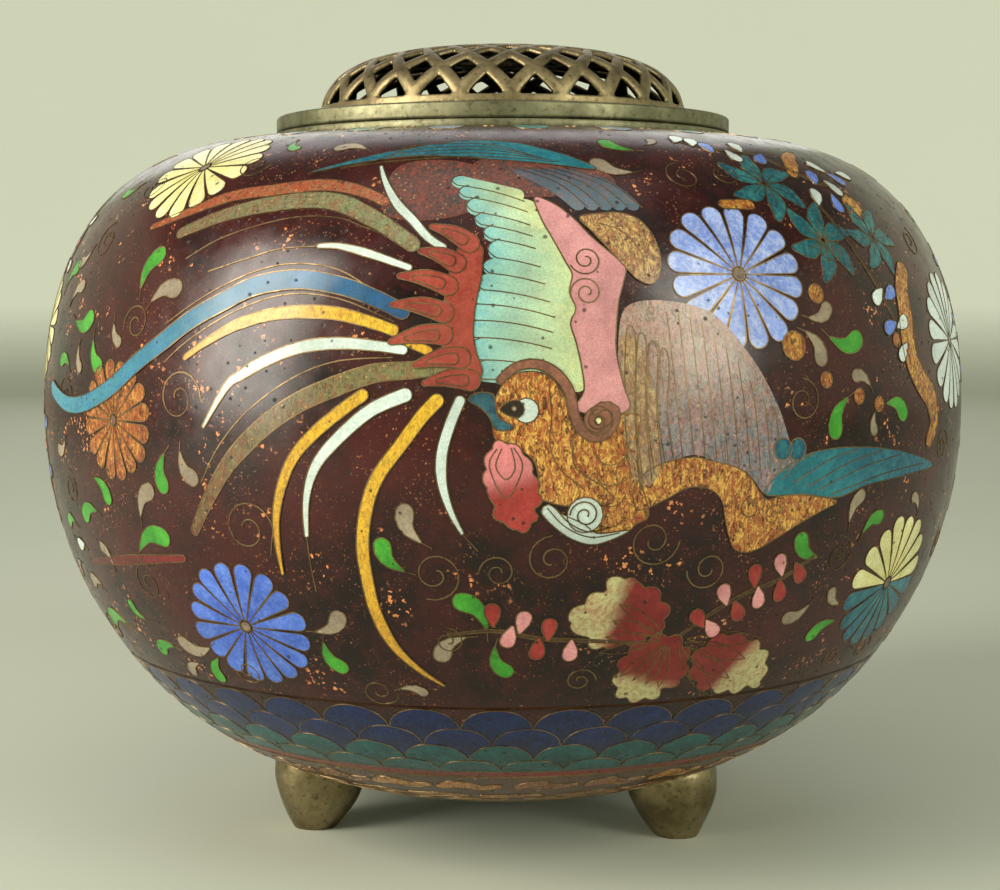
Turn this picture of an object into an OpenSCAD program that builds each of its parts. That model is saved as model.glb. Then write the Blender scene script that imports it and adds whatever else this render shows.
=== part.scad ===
// Lidded globular enamelled vessel on three feet, with a pierced metal lid.
// Millimetres, +Z up. The origin is on the table plane, on the axis of the body; the front is -Y.

/* [Body] */
// Largest outer radius of the glazed body
body_r = 60; // [50:0.5:65]
// Height of the widest circle above the table
widest_z = 54.5; // [52:0.5:58]
// Outer radius where the body meets the mouth rim
mouth_r = 29.4; // [28.8:0.1:29.6]
// Height of the glaze at the mouth
mouth_z = 88.9; // [87:0.1:91]
// Radius of the flat underside
base_r = 25; // [22:0.5:25.5]
// Height of the flat underside above the table
base_z = 7; // [6.5:0.1:7.5]

/* [Walls] */
// Thickness of the outer enamel
glaze_t = 0.8; // [0.5:0.1:1.2]
// Thickness of the copper wall
copper_t = 1.3; // [1:0.1:1.6]
// Thickness of the enamel lining inside
lining_t = 0.5; // [0.3:0.1:0.8]
// Width of a border wire
wire_w = 0.35; // [0.25:0.05:0.5]
// Width of the flat wire under the mouth rim
neck_wire_w = 1.05; // [0.8:0.05:1.4]

/* [Borders, as radii on the underside of the body] */
// Inner edge of the scroll band
scroll_r = 27; // [26.5:0.1:28]
// Inner edge of the plain red line
red_r = 40.2; // [39:0.1:41]
// Inner edge of the lower scales
lower_scale_r = 41.9; // [41.7:0.1:43]
// Inner edge of the upper scales
upper_scale_r = 46.4; // [45:0.1:48]
// Inner edge of the main field
field_r = 50.6; // [49:0.1:52]
// Outer edge of the neck border, on the shoulder
neck_border_r = 39.6; // [37:0.1:41]

/* [Mouth and lid] */
// Inner radius of the mouth rim
mouth_bore_r = 26; // [25.8:0.1:26.5]
// Height of the top of the mouth rim above the glaze
rim_h = 1.2; // [0.8:0.1:1.5]
// Outer radius of the lid flange
flange_r = 29.85; // [29:0.05:30]
// Thickness of the lid flange at its edge
flange_t = 2; // [1.6:0.1:2.4]
// Depth of the lid's collar inside the mouth
collar_h = 5; // [3:0.5:7]
// Radial play between collar and mouth
collar_play = 0.3; // [0.2:0.05:0.4]
// Outer radius of the dome at its foot
dome_r = 24.3; // [23.8:0.1:24.6]
// Height of the dome above its seat on the flange
dome_h = 8.9; // [7:0.1:11]
// Thickness of the dome
dome_t = 1; // [0.8:0.1:1.2]
// Openings in one row of the lattice
columns = 24; // [24:2:24]

/* [Feet] */
// Radius of the circle through the three feet
foot_circle_r = 27.8; // [26.5:0.1:29]
// Radius of a foot at its fullest
foot_r = 5.95; // [5:0.05:6.2]
// Radius of the pad that stands on the table
foot_pad_r = 2.5; // [2:0.1:3]
// Lean of a foot, its pad outwards
foot_lean = 8; // [0:1:10]
// Radius of the stem that joins a foot to the copper
stem_r = 3.2; // [2.5:0.1:4]

/* [Hidden] */
$fn = 96;

overlap = 0.01;          // how far a cutter runs past a face
curve_steps = 14;        // chords along one stretch of the body's outline
dome_steps = 8;          // chords along the dome's outline
cutter_reach = 3.5;      // how far an opening's cutter runs either side of the dome
lid_gap = 0.05;          // the flange's clearance over the rim
rim_step = 0.1;          // how far the rim stands clear of the glaze edge
seat_z = mouth_z + rim_h;
flange_z = seat_z + lid_gap;
dome_z = flange_z + flange_t + 0.35;
collar_r = mouth_bore_r - collar_play;
collar_t = 0.8;
chamfer = 0.35;          // edge break of the lid flange
lip_z = mouth_z - glaze_t;
floor_z = base_z + glaze_t;

// The outline from the underside to the widest circle, then on to the mouth
lower_curve = [[base_r, base_z], [base_r + 19.7, base_z + 4.9], [body_r, widest_z - 24.1], [body_r, widest_z]];
upper_curve = [[body_r, widest_z], [body_r, widest_z + 20.2], [mouth_r + 21.9, mouth_z + 1.1], [mouth_r, mouth_z]];
dome_curve = [[dome_r, dome_z], [dome_r - 0.9, dome_z + dome_h * 0.85], [dome_r * 0.63, dome_z + dome_h],
    [0, dome_z + dome_h]];
foot_curve = [[foot_pad_r, 0], [foot_pad_r + 1.5, 2.2], [foot_r, 4.6], [foot_r, 8.5]];

// A point and the unit outward normal of a cubic curve at t
function curve_point(c, t) = pow(1 - t, 3) * c[0] + 3 * pow(1 - t, 2) * t * c[1]
    + 3 * (1 - t) * t * t * c[2] + pow(t, 3) * c[3];
function curve_slope(c, t) = pow(1 - t, 2) * (c[1] - c[0]) + 2 * (1 - t) * t * (c[2] - c[1])
    + t * t * (c[3] - c[2]);
function curve_normal(c, t) = let (d = curve_slope(c, t)) [d[1], -d[0]] / norm(d);

// The body's outline, s = 0 at the underside, 1 at the widest circle and 2 at the mouth
function outline(s, depth) = s <= 1
    ? curve_point(lower_curve, s) - depth * curve_normal(lower_curve, s)
    : curve_point(upper_curve, s - 1) - depth * curve_normal(upper_curve, s - 1);

// Where the outline has radius r, below the widest circle or above it, by halving
function lower_s(r, lo = 0, hi = 1, n = 20) = n == 0 ? (lo + hi) / 2
    : let (mid = (lo + hi) / 2) outline(mid, 0)[0] < r ? lower_s(r, mid, hi, n - 1) : lower_s(r, lo, mid, n - 1);
function upper_s(r, lo = 1, hi = 2, n = 20) = n == 0 ? (lo + hi) / 2
    : let (mid = (lo + hi) / 2) outline(mid, 0)[0] > r ? upper_s(r, mid, hi, n - 1) : upper_s(r, lo, mid, n - 1);

scroll_s = lower_s(scroll_r);
red_s = lower_s(red_r);
lower_scale_s = lower_s(lower_scale_r);
upper_scale_s = lower_s(upper_scale_r);
field_s = lower_s(field_r);
neck_s = upper_s(neck_border_r);
neck_wire_s = upper_s(mouth_r + neck_wire_w);
// A border wire's width as a length along the outline's parameter
wire_ds = lower_s(red_r + wire_w) - red_s;

// Stations shared by every layer, so that neighbours meet face to face
function sorted(v) = len(v) < 2 ? v
    : concat(sorted([for (x = v) if (x < v[0]) x]), [v[0]], sorted([for (x = v) if (x > v[0]) x]));
marks = sorted(concat([for (i = [0 : 2 * curve_steps]) i / curve_steps],
    [scroll_s - wire_ds, scroll_s, red_s, red_s + wire_ds, lower_scale_s - wire_ds, lower_scale_s,
    upper_scale_s, field_s, field_s + wire_ds, neck_s, neck_wire_s]));
function stations(a, b) = [for (s = marks) if (s >= a && s <= b) s];
function reversed(v) = [for (i = [len(v) - 1 : -1 : 0]) v[i]];

foot_turns = [-60, 60, 180];   // each foot's turn from the front, seen from above

// A ring of the wall between two depths, from station a to station b
module wall_ring(a, b, depth_a, depth_b) {
    rotate_extrude()
        polygon(concat([for (s = stations(a, b)) outline(s, depth_a)],
            reversed([for (s = stations(a, b)) outline(s, depth_b)])));
}

// A closed bowl of the wall: a flat floor, the round side and a level lip at the mouth
module wall_bowl(depth, thick, floor_at, lip_at, lip_r) {
    outer = [for (s = stations(0, 2)) outline(s, depth)];
    inner = reversed([for (s = stations(0, 2)) outline(s, depth + thick)]);
    rotate_extrude()
        polygon(concat([[0, floor_at]], [[outer[0][0], floor_at]], [for (i = [1 : len(outer) - 2]) outer[i]],
            [[outer[len(outer) - 1][0], lip_at]], [[lip_r, lip_at]], [[lip_r, lip_at - thick]],
            [[inner[0][0], lip_at - thick]], [for (i = [1 : len(inner) - 2]) inner[i]],
            [[inner[len(inner) - 1][0], floor_at + thick]], [[0, floor_at + thick]]));
}

// The stem of the front foot, before it is trimmed under the copper
module stem() {
    translate([0, -foot_circle_r + 1, base_z - 3])
        cylinder(r = stem_r, h = 12);
}

// The space of the three stems, where they pass through the enamel
module stem_holes() {
    for (turn = foot_turns)
        rotate([0, 0, turn])
            stem();
}

module copper_body() {
    color("#b5703f")
        wall_bowl(glaze_t, copper_t, floor_z, lip_z, mouth_bore_r);
}

module enamel_lining() {
    color("#5f9c98")
        wall_bowl(glaze_t + copper_t, lining_t, floor_z + copper_t, lip_z - copper_t, mouth_bore_r);
}

module base_enamel() {
    color("#2f3a3c")
        difference() {
            union() {
                translate([0, 0, base_z])
                    cylinder(r = base_r, h = glaze_t);
                wall_ring(0, scroll_s - wire_ds, 0, glaze_t);
            }
            stem_holes();
        }
}

// A band of outer enamel between two stations
module enamel_band(a, b) {
    difference() {
        wall_ring(a, b, 0, glaze_t);
        stem_holes();
    }
}

module scroll_band() { color("#8a5a28") enamel_band(scroll_s, red_s); }
module red_line() { color("#6d1410") enamel_band(red_s + wire_ds, lower_scale_s - wire_ds); }
module lower_scales() { color("#1f7e80") enamel_band(lower_scale_s, upper_scale_s); }
module upper_scales() { color("#16305e") enamel_band(upper_scale_s, field_s); }
module main_field() { color("#451a16") enamel_band(field_s + wire_ds, neck_s); }
module neck_border() { color("#2d6f78") enamel_band(neck_s, neck_wire_s); }

// A border wire stands on the copper and is polished flush with the enamel
module border_wire(a, b) {
    color("#8a6a48")
        difference() {
            wall_ring(a, b, 0, glaze_t);
            stem_holes();
        }
}

module base_wire() { border_wire(scroll_s - wire_ds, scroll_s); }
module scroll_wire() { border_wire(red_s, red_s + wire_ds); }
module red_wire() { border_wire(lower_scale_s - wire_ds, lower_scale_s); }
module field_wire() { border_wire(field_s, field_s + wire_ds); }
module neck_wire() { border_wire(neck_wire_s, 2); }

// The rim is stepped: it sits on the copper lip and covers the edge of the enamel
module mouth_rim() {
    color("#8c7a50")
        rotate_extrude()
            polygon([[mouth_bore_r, lip_z], [mouth_r - rim_step, lip_z], [mouth_r - rim_step, mouth_z + rim_step],
                [mouth_r + 0.5, mouth_z + rim_step], [mouth_r + 0.6, mouth_z + rim_h / 2],
                [mouth_r + 0.5, seat_z], [mouth_bore_r, seat_z]]);
}

// The body filled solid out to a depth under its surface, which trims what is joined to it from below
module body_solid(depth, floor_at) {
    points = [for (s = stations(0, 1)) outline(s, depth)];
    rotate_extrude()
        polygon(concat([[0, floor_at], [points[0][0], floor_at]], [for (i = [1 : len(points) - 1]) points[i]],
            [[0, widest_z]]));
}

// One foot: a leaning bulb under the enamel, and a stem through the enamel to the copper
module foot(turn) {
    bulb = [for (i = [0 : 8]) curve_point(foot_curve, i / 8)];
    bulb_top = 14;
    color("#5c5034")
        union() {
            difference() {
                rotate([0, 0, turn])
                    intersection() {
                        translate([0, -foot_circle_r, -0.4])
                            rotate([-foot_lean, 0, 0])
                                rotate_extrude()
                                    polygon(concat([[0, 0]], bulb, [[foot_r, bulb_top], [0, bulb_top]]));
                        translate([-2 * foot_r, -foot_circle_r - 2 * foot_r, 0])
                            cube([4 * foot_r, 4 * foot_r, 2 * bulb_top]);
                    }
                body_solid(0, base_z);
            }
            difference() {
                rotate([0, 0, turn])
                    stem();
                body_solid(glaze_t, floor_z);
            }
        }
}

module front_left_foot() { foot(foot_turns[0]); }
module front_right_foot() { foot(foot_turns[1]); }
module rear_foot() { foot(foot_turns[2]); }

module lid_flange() {
    color("#86805a")
        rotate_extrude()
            polygon([[collar_r - collar_t, flange_z], [flange_r - chamfer, flange_z], [flange_r, flange_z + chamfer],
                [flange_r, flange_z + flange_t - chamfer], [flange_r - chamfer, flange_z + flange_t],
                [dome_r + 0.1, dome_z], [dome_r - 1.7, dome_z], [dome_r - 1.7, flange_z]]);
}

// A sleeve soldered under the flange, which keeps the lid central in the mouth
module lid_collar() {
    color("#86805a")
        translate([0, 0, flange_z - collar_h])
            difference() {
                cylinder(r = collar_r, h = collar_h);
                translate([0, 0, -overlap])
                    cylinder(r = collar_r - collar_t, h = collar_h + 2 * overlap);
            }
}

// The dome before it is pierced
module dome_shell() {
    outer = [for (i = [0 : dome_steps]) curve_point(dome_curve, i / dome_steps)];
    inner = [for (i = [0 : dome_steps]) let (t = i / dome_steps)
        curve_point(dome_curve, t) - dome_t * curve_normal(dome_curve, t)];
    rotate_extrude()
        polygon(concat([for (p = outer) p], reversed([for (p = inner) [max(p[0], 0), max(p[1], dome_z)]])));
}

// One opening of the lattice. The sides are pairs of a place on the dome's outline and half a width there,
// from the opening's lower end to its upper end.
module lattice_opening(turn, sides) {
    mid_t = (sides[0][0] + sides[len(sides) - 1][0]) / 2;
    mid = curve_point(dome_curve, mid_t);
    out = curve_normal(dome_curve, mid_t);
    up = [-out[1], out[0]];
    right = [for (side = sides) [-(curve_point(dome_curve, side[0]) - mid) * up, side[1]]];
    left = [for (side = reversed(sides)) if (side[1] > 0)
        [-(curve_point(dome_curve, side[0]) - mid) * up, -side[1]]];
    rotate([0, 0, turn])
        translate([mid[0], 0, mid[1]])
            rotate([0, atan2(out[0], out[1]), 0])
                translate([0, 0, -cutter_reach])
                    linear_extrude(2 * cutter_reach)
                        polygon(concat(right, left));
}

// A row of equal openings round the dome, the odd rows half a step round from the even ones
module lattice_row(count, shift, sides) {
    for (i = [0 : count - 1])
        lattice_opening((i + shift) * 360 / count, sides);
}

module lid_dome() {
    color("#a8925c")
        difference() {
            dome_shell();
            lattice_row(columns, 0.5, [[0.055, 2.4], [0.15, 1.5], [0.225, 0.35]]);
            lattice_row(columns, 0, [[0.09, 0.3], [0.17, 1.5], [0.26, 2.1], [0.35, 1.5], [0.43, 0.3]]);
            lattice_row(columns, 0.5, [[0.3, 0.3], [0.38, 1.3], [0.46, 1.75], [0.53, 1.2], [0.575, 0.3]]);
            lattice_row(columns, 0, [[0.49, 0.3], [0.55, 1.05], [0.6, 1.3], [0.645, 0.9], [0.68, 0.25]]);
            lattice_row(columns, 0.5, [[0.625, 0.25], [0.67, 0.75], [0.715, 0.95]]);
            lattice_row(columns / 2, 0.25, [[0.765, 1.0], [0.8, 1.45], [0.86, 0.9], [0.92, 0.2]]);
        }
}

copper_body();
enamel_lining();
base_enamel();
scroll_band();
red_line();
lower_scales();
upper_scales();
main_field();
neck_border();
base_wire();
scroll_wire();
red_wire();
field_wire();
neck_wire();
mouth_rim();
front_left_foot();
front_right_foot();
rear_foot();
lid_flange();
lid_collar();
lid_dome();
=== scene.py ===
import math
import random

import bpy
import numpy as np
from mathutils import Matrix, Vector, geometry


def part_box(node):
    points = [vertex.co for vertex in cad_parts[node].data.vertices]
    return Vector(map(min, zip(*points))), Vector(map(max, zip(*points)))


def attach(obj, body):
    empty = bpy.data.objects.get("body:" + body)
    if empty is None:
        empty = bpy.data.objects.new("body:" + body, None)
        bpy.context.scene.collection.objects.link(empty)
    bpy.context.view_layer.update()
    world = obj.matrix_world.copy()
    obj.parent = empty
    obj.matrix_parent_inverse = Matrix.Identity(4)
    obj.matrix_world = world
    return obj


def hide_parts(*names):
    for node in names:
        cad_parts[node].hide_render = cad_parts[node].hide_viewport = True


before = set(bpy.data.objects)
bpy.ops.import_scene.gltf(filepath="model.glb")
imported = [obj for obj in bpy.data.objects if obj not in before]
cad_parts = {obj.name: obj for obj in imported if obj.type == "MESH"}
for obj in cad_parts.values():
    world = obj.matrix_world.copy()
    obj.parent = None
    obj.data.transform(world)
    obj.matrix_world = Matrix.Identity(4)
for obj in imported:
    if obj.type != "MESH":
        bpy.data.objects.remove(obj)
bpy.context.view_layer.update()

# Lengths are in millimetres until place() turns them into metres.
MM = 0.001
DEGREE = math.pi / 180
dice = random.Random(7)

# ---------------------------------------------------------------- the frame's own sizes


def rings(node):
    """Every vertex of a CAD node as its radius and height."""
    co = np.array([v.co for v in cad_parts[node].data.vertices]) / MM
    return np.column_stack([np.hypot(co[:, 0], co[:, 1]), co[:, 2]])


def bezier(c, t):
    """Points of a cubic curve with control points c."""
    t = np.asarray(t, float)[:, None]
    c = np.array(c, float)
    return (1 - t) ** 3 * c[0] + 3 * (1 - t) ** 2 * t * c[1] + 3 * (1 - t) * t * t * c[2] + t ** 3 * c[3]


field_rings, base_rings, neck_rings = rings("main_field"), rings("base_enamel"), rings("neck_wire")
BODY_R, WIDEST_Z = field_rings[field_rings[:, 0].argmax()]
BASE_Z = base_rings[:, 1].min()
BASE_R = base_rings[base_rings[:, 1] < BASE_Z + 0.01, 0].max()
MOUTH_R, MOUTH_Z = neck_rings[neck_rings[:, 0].argmin()]
LOWER = [(BASE_R, BASE_Z), (BASE_R + 19.7, BASE_Z + 4.9), (BODY_R, WIDEST_Z - 24.1), (BODY_R, WIDEST_Z)]
UPPER = [(BODY_R, WIDEST_Z), (BODY_R, WIDEST_Z + 20.2), (MOUTH_R + 21.9, MOUTH_Z + 1.1), (MOUTH_R, MOUTH_Z)]
GLAZE_T = 0.8      # thickness of the outer glaze
WALL_T = 2.1       # glaze and copper together
LINING_T = 0.5     # thickness of the enamel lining
SKIN_STEP = 0.8    # spacing of the points along a glaze skin
AXIS_GAP = 0.02    # how near to the axis a turned profile goes

# The body's outline by arc length, 0 at the widest circle, negative below it
steps = np.linspace(0, 1, 700)
OUTLINE = np.vstack([bezier(LOWER, steps), bezier(UPPER, steps[1:])])
ARC = np.concatenate([[0], np.cumsum(np.linalg.norm(np.diff(OUTLINE, axis=0), axis=1))])
ARC -= ARC[len(steps) - 1]
SLOPE = np.gradient(OUTLINE, axis=0)
NORMAL = np.column_stack([SLOPE[:, 1], -SLOPE[:, 0]]) / np.linalg.norm(SLOPE, axis=1)[:, None]


def outline(s, lift=0.0):
    """Radius and height on the outline at arc length s, lift outside it."""
    r = np.interp(s, ARC, OUTLINE[:, 0]) + lift * np.interp(s, ARC, NORMAL[:, 0])
    z = np.interp(s, ARC, OUTLINE[:, 1]) + lift * np.interp(s, ARC, NORMAL[:, 1])
    return r, z


def place(points, lift):
    """Points (a, s) on the body, a in degrees from the front towards +X, as places in metres."""
    r, z = outline(points[:, 1], lift)
    a = points[:, 0] * DEGREE
    return np.column_stack([r * np.sin(a), -r * np.cos(a), z]) * MM


def per_degree(s):
    """Length of one degree round the body at s."""
    return np.interp(s, ARC, OUTLINE[:, 0]) * DEGREE


def span(node):
    """The stretch of the outline that a CAD skin covers."""
    points = rings(node)
    gaps = np.linalg.norm(points[:, None] - OUTLINE[None], axis=2)
    on = gaps.min(axis=1) < 0.03
    s = ARC[gaps.argmin(axis=1)[on]]
    return s.min(), s.max()


# ---------------------------------------------------------------- colours and materials


def rgb(r, g, b, a=1.0):
    """An sRGB colour, 0 to 255, as linear light."""
    linear = [c / 255 / 12.92 if c < 10.3 else ((c / 255 + 0.055) / 1.055) ** 2.4 for c in (r, g, b)]
    return (*linear, a)


class Shader:
    """Builds one material's nodes round a Principled shader."""

    def __init__(self, name, **sockets):
        self.material = bpy.data.materials.new(name)
        self.material.use_nodes = True
        self.tree = self.material.node_tree
        self.principled = self.tree.nodes["Principled BSDF"]
        for socket, value in sockets.items():
            self.principled.inputs[socket.replace("_", " ")].default_value = value
        self.place = self.node("ShaderNodeTexCoord").outputs["Object"]

    def node(self, kind, inputs=None, **settings):
        made = self.tree.nodes.new(kind)
        for key, value in settings.items():
            setattr(made, key, value)
        for socket, value in (inputs or {}).items():
            if isinstance(value, bpy.types.NodeSocket):
                self.tree.links.new(value, made.inputs[socket])
            else:
                made.inputs[socket].default_value = value
        return made

    def noise(self, scale, detail, rough=0.55, low=0.0, high=1.0, swirl=0.0, vector=None):
        """Noise with features of about 1 / scale metres, stretched so that low to high becomes 0 to 1."""
        inputs = {"Vector": vector or self.place, "Scale": scale, "Detail": detail, "Roughness": rough,
                  "Distortion": swirl}
        made = self.node("ShaderNodeTexNoise", inputs)
        return self.level(made.outputs["Fac"], low, high)

    def level(self, value, low, high, to_low=0.0, to_high=1.0):
        made = self.node("ShaderNodeMapRange", {"Value": value, "From Min": low, "From Max": high,
                                                "To Min": to_low, "To Max": to_high})
        return made.outputs["Result"]

    def math(self, kind, a, b):
        return self.node("ShaderNodeMath", {0: a, 1: b}, operation=kind).outputs[0]

    def mix(self, share, a, b, how="MIX"):
        made = self.node("ShaderNodeMix", {0: share, 6: a, 7: b}, data_type="RGBA", blend_type=how)
        return made.outputs[2]

    def attribute(self, name):
        return self.node("ShaderNodeAttribute", attribute_name=name)

    def scaled(self, value, times):
        """A vector times a number."""
        return self.node("ShaderNodeVectorMath", {0: value, "Scale": times}, operation="SCALE").outputs[0]

    def dots(self, scale, size, share, ragged=0.0):
        """Dots of mixed sizes in about share of the cells, 1 inside a dot; ragged breaks their outlines."""
        vector = self.place
        if ragged:
            inputs = {"Vector": self.place, "Scale": scale * 1.6, "Detail": 2.0}
            warp = self.node("ShaderNodeTexNoise", inputs)
            push = self.scaled(warp.outputs["Color"], ragged / scale)
            vector = self.node("ShaderNodeVectorMath", {0: self.place, 1: push}, operation="ADD").outputs[0]
        cells = self.node("ShaderNodeTexVoronoi", {"Vector": vector, "Scale": scale})
        parts = self.node("ShaderNodeSeparateColor", {"Color": cells.outputs["Color"]})
        reach = self.level(parts.outputs[1], 0, 1, size * 0.45, size * 1.25)
        near = self.level(self.math("DIVIDE", cells.outputs["Distance"], reach), 1.0, 0.7)
        return self.math("MULTIPLY", near, self.math("GREATER_THAN", parts.outputs[0], 1 - share))

    def grey(self, value):
        """A number as a grey colour."""
        return self.node("ShaderNodeCombineColor", {0: value, 1: value, 2: value}).outputs[0]

    def share(self, value, times):
        return self.math("MULTIPLY", value, times)

    def finish(self, colour, rough, height, bump=0.1, distance=0.0001):
        """Joins colour, roughness and a height in the given distance to the shader."""
        self.tree.links.new(colour, self.principled.inputs["Base Color"])
        self.tree.links.new(rough, self.principled.inputs["Roughness"])
        made = self.node("ShaderNodeBump", {"Strength": bump, "Distance": distance, "Height": height})
        self.tree.links.new(made.outputs["Normal"], self.principled.inputs["Normal"])
        return self.material


GLOSS = 0.4    # specular level shared by all enamels
RIPPLE = 0.5   # how wavy their polish is


def glaze_finish(shader, colour, pits):
    """What every enamel shares: fine grain, tiny pits, a polished but uneven gloss."""
    grain = shader.level(shader.noise(5200, 2), 0.3, 0.7, 0.82, 1.14)
    colour = shader.mix(1.0, colour, shader.grey(grain), "MULTIPLY")
    holes = shader.dots(950, 0.22, pits)
    colour = shader.mix(shader.share(holes, 0.75), colour, rgb(22, 14, 10))
    rough = shader.level(shader.noise(420, 4), 0.3, 0.72, 0.17, 0.31)
    rough = shader.math("ADD", rough, shader.share(holes, 0.35))
    height = shader.share(shader.noise(190, 2), RIPPLE)
    height = shader.math("SUBTRACT", height, shader.share(holes, 0.5))
    return shader.finish(colour, rough, height, 0.35, 0.00012)


def inlay_enamel():
    """Enamel whose colours are painted on each cell: tint, and flecks of a second colour."""
    shader = Shader("inlay_enamel", Specular_IOR_Level=GLOSS, IOR=1.5)
    tint = shader.attribute("tint").outputs["Color"]
    fleck = shader.attribute("fleck")
    cloud = shader.noise(480, 4, 0.6, 0.46, 0.62)
    grain = shader.noise(1900, 3, 0.6, 0.47, 0.57)
    both = shader.math("ADD", shader.share(cloud, 0.45), shader.share(grain, 0.55))
    amount = shader.share(both, fleck.outputs["Alpha"])
    colour = shader.mix(amount, tint, fleck.outputs["Color"])
    soft = shader.level(shader.noise(240, 2), 0.3, 0.7, 0.8, 1.12)
    return glaze_finish(shader, shader.mix(1.0, colour, shader.grey(soft), "MULTIPLY"), 0.3)


STREAKED = (1.0, 1.0, 0.5)    # squashes the height, so that marbling runs up and down


def marbled_enamel():
    """Painted enamel run through with streaks of its fleck colour, dark veins and gold dust."""
    shader = Shader("marbled_enamel", Specular_IOR_Level=GLOSS, IOR=1.5)
    tint = shader.attribute("tint").outputs["Color"]
    fleck = shader.attribute("fleck")
    amount = fleck.outputs["Alpha"]
    along = {0: shader.place, 1: STREAKED}
    flow = shader.node("ShaderNodeVectorMath", along, operation="MULTIPLY").outputs[0]
    streaks = shader.share(shader.noise(1350, 5, 0.68, 0.44, 0.58, 1.6, flow), amount)
    colour = shader.mix(streaks, tint, fleck.outputs["Color"])
    brick = shader.share(shader.noise(800, 5, 0.7, 0.43, 0.6, 2.0, flow), amount)
    colour = shader.mix(shader.share(brick, 0.8), colour, rgb(140, 58, 38))
    vein = shader.share(shader.noise(1700, 4, 0.7, 0.5, 0.6, 1.8, flow), amount)
    colour = shader.mix(shader.share(vein, 0.9), colour, rgb(44, 26, 18))
    dust = shader.share(shader.dots(2600, 0.3, 0.3, 0.6), shader.share(amount, 0.6))
    return glaze_finish(shader, shader.mix(dust, colour, rgb(250, 206, 116)), 0.35)


def ground_enamel(name, dark, light, fleck, fleck_share):
    """Translucent ground over copper: cloudy colour with ragged copper flecks in clusters."""
    shader = Shader(name, Specular_IOR_Level=GLOSS, IOR=1.5)
    colour = shader.mix(shader.noise(70, 5, 0.62, 0.4, 0.68), dark, light)
    mottle = shader.share(shader.noise(520, 4, 0.6, 0.46, 0.66), 0.5)
    colour = shader.mix(mottle, colour, light)
    large = shader.share(shader.dots(1700, 0.4, 0.6, 1.5), shader.noise(230, 3, 0.6, 0.57, 0.64))
    small = shader.share(shader.dots(2900, 0.34, 0.34, 1.3), shader.noise(160, 4, 0.6, 0.48, 0.64))
    fine = shader.share(shader.dots(4800, 0.3, 0.12), 0.25)
    flecks = shader.math("MAXIMUM", shader.math("MAXIMUM", large, shader.share(small, 0.5)), fine)
    colour = shader.mix(shader.share(flecks, fleck_share), colour, fleck)
    return glaze_finish(shader, colour, 0.5)


def metal(name, bright, worn, dirt_and_shade, rough=(0.25, 0.5), patina_and_shade=None):
    """Old metal: bright where rubbed, dull in patches, with dirt specks; where the given attribute is high
    the dirt colour goes on again, partly as patina and partly as painted shade.
    """
    shader = Shader(name, Metallic=1.0)
    colour = shader.mix(shader.noise(160, 5, 0.65, 0.38, 0.66), bright, worn)
    specks = shader.share(shader.noise(1500, 3, 0.6, 0.55, 0.7), 0.55)
    colour = shader.mix(specks, colour, dirt_and_shade)
    # Where the attribute is high the dirt colour is laid on as patina and as painted shade together.
    if patina_and_shade:
        colour = shader.mix(shader.attribute(patina_and_shade).outputs["Fac"], colour, dirt_and_shade)
    height = shader.math("ADD", shader.noise(900, 4), shader.share(shader.noise(260, 2), 1.5))
    return shader.finish(colour, shader.level(shader.noise(700, 4), 0.3, 0.7, *rough), height, 0.5, 0.00008)


WALL_GLOW, GLOW_RISE = 0.5, 0.05    # the studio wall's own light, and the height in metres where it is full


def plain_floor():
    """A pale matt sheet whose upcurved wall is lit from within, like a light tent."""
    shader = Shader("pale_floor")
    colour = shader.mix(shader.noise(6, 3), rgb(186, 189, 172), rgb(193, 196, 180))
    height = shader.node("ShaderNodeSeparateXYZ", {0: shader.place}).outputs[2]
    shader.principled.inputs["Emission Color"].default_value = rgb(226, 230, 204)
    glow = shader.level(height, 0.0, GLOW_RISE, 0.0, WALL_GLOW)
    shader.tree.links.new(glow, shader.principled.inputs["Emission Strength"])
    rough = shader.level(shader.noise(20, 3), 0, 1, 0.75, 0.85)
    return shader.finish(colour, rough, shader.noise(900, 2), 0.05)


INLAY = inlay_enamel()
MARBLE = marbled_enamel()
GRIMY_WIRE = metal("grimy_wire", rgb(84, 54, 36), rgb(52, 30, 20), rgb(26, 14, 10), (0.35, 0.6))
WIRE_METAL = metal("cloison_wire", rgb(142, 118, 84), rgb(94, 76, 52), rgb(44, 34, 24), (0.32, 0.55))

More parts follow.
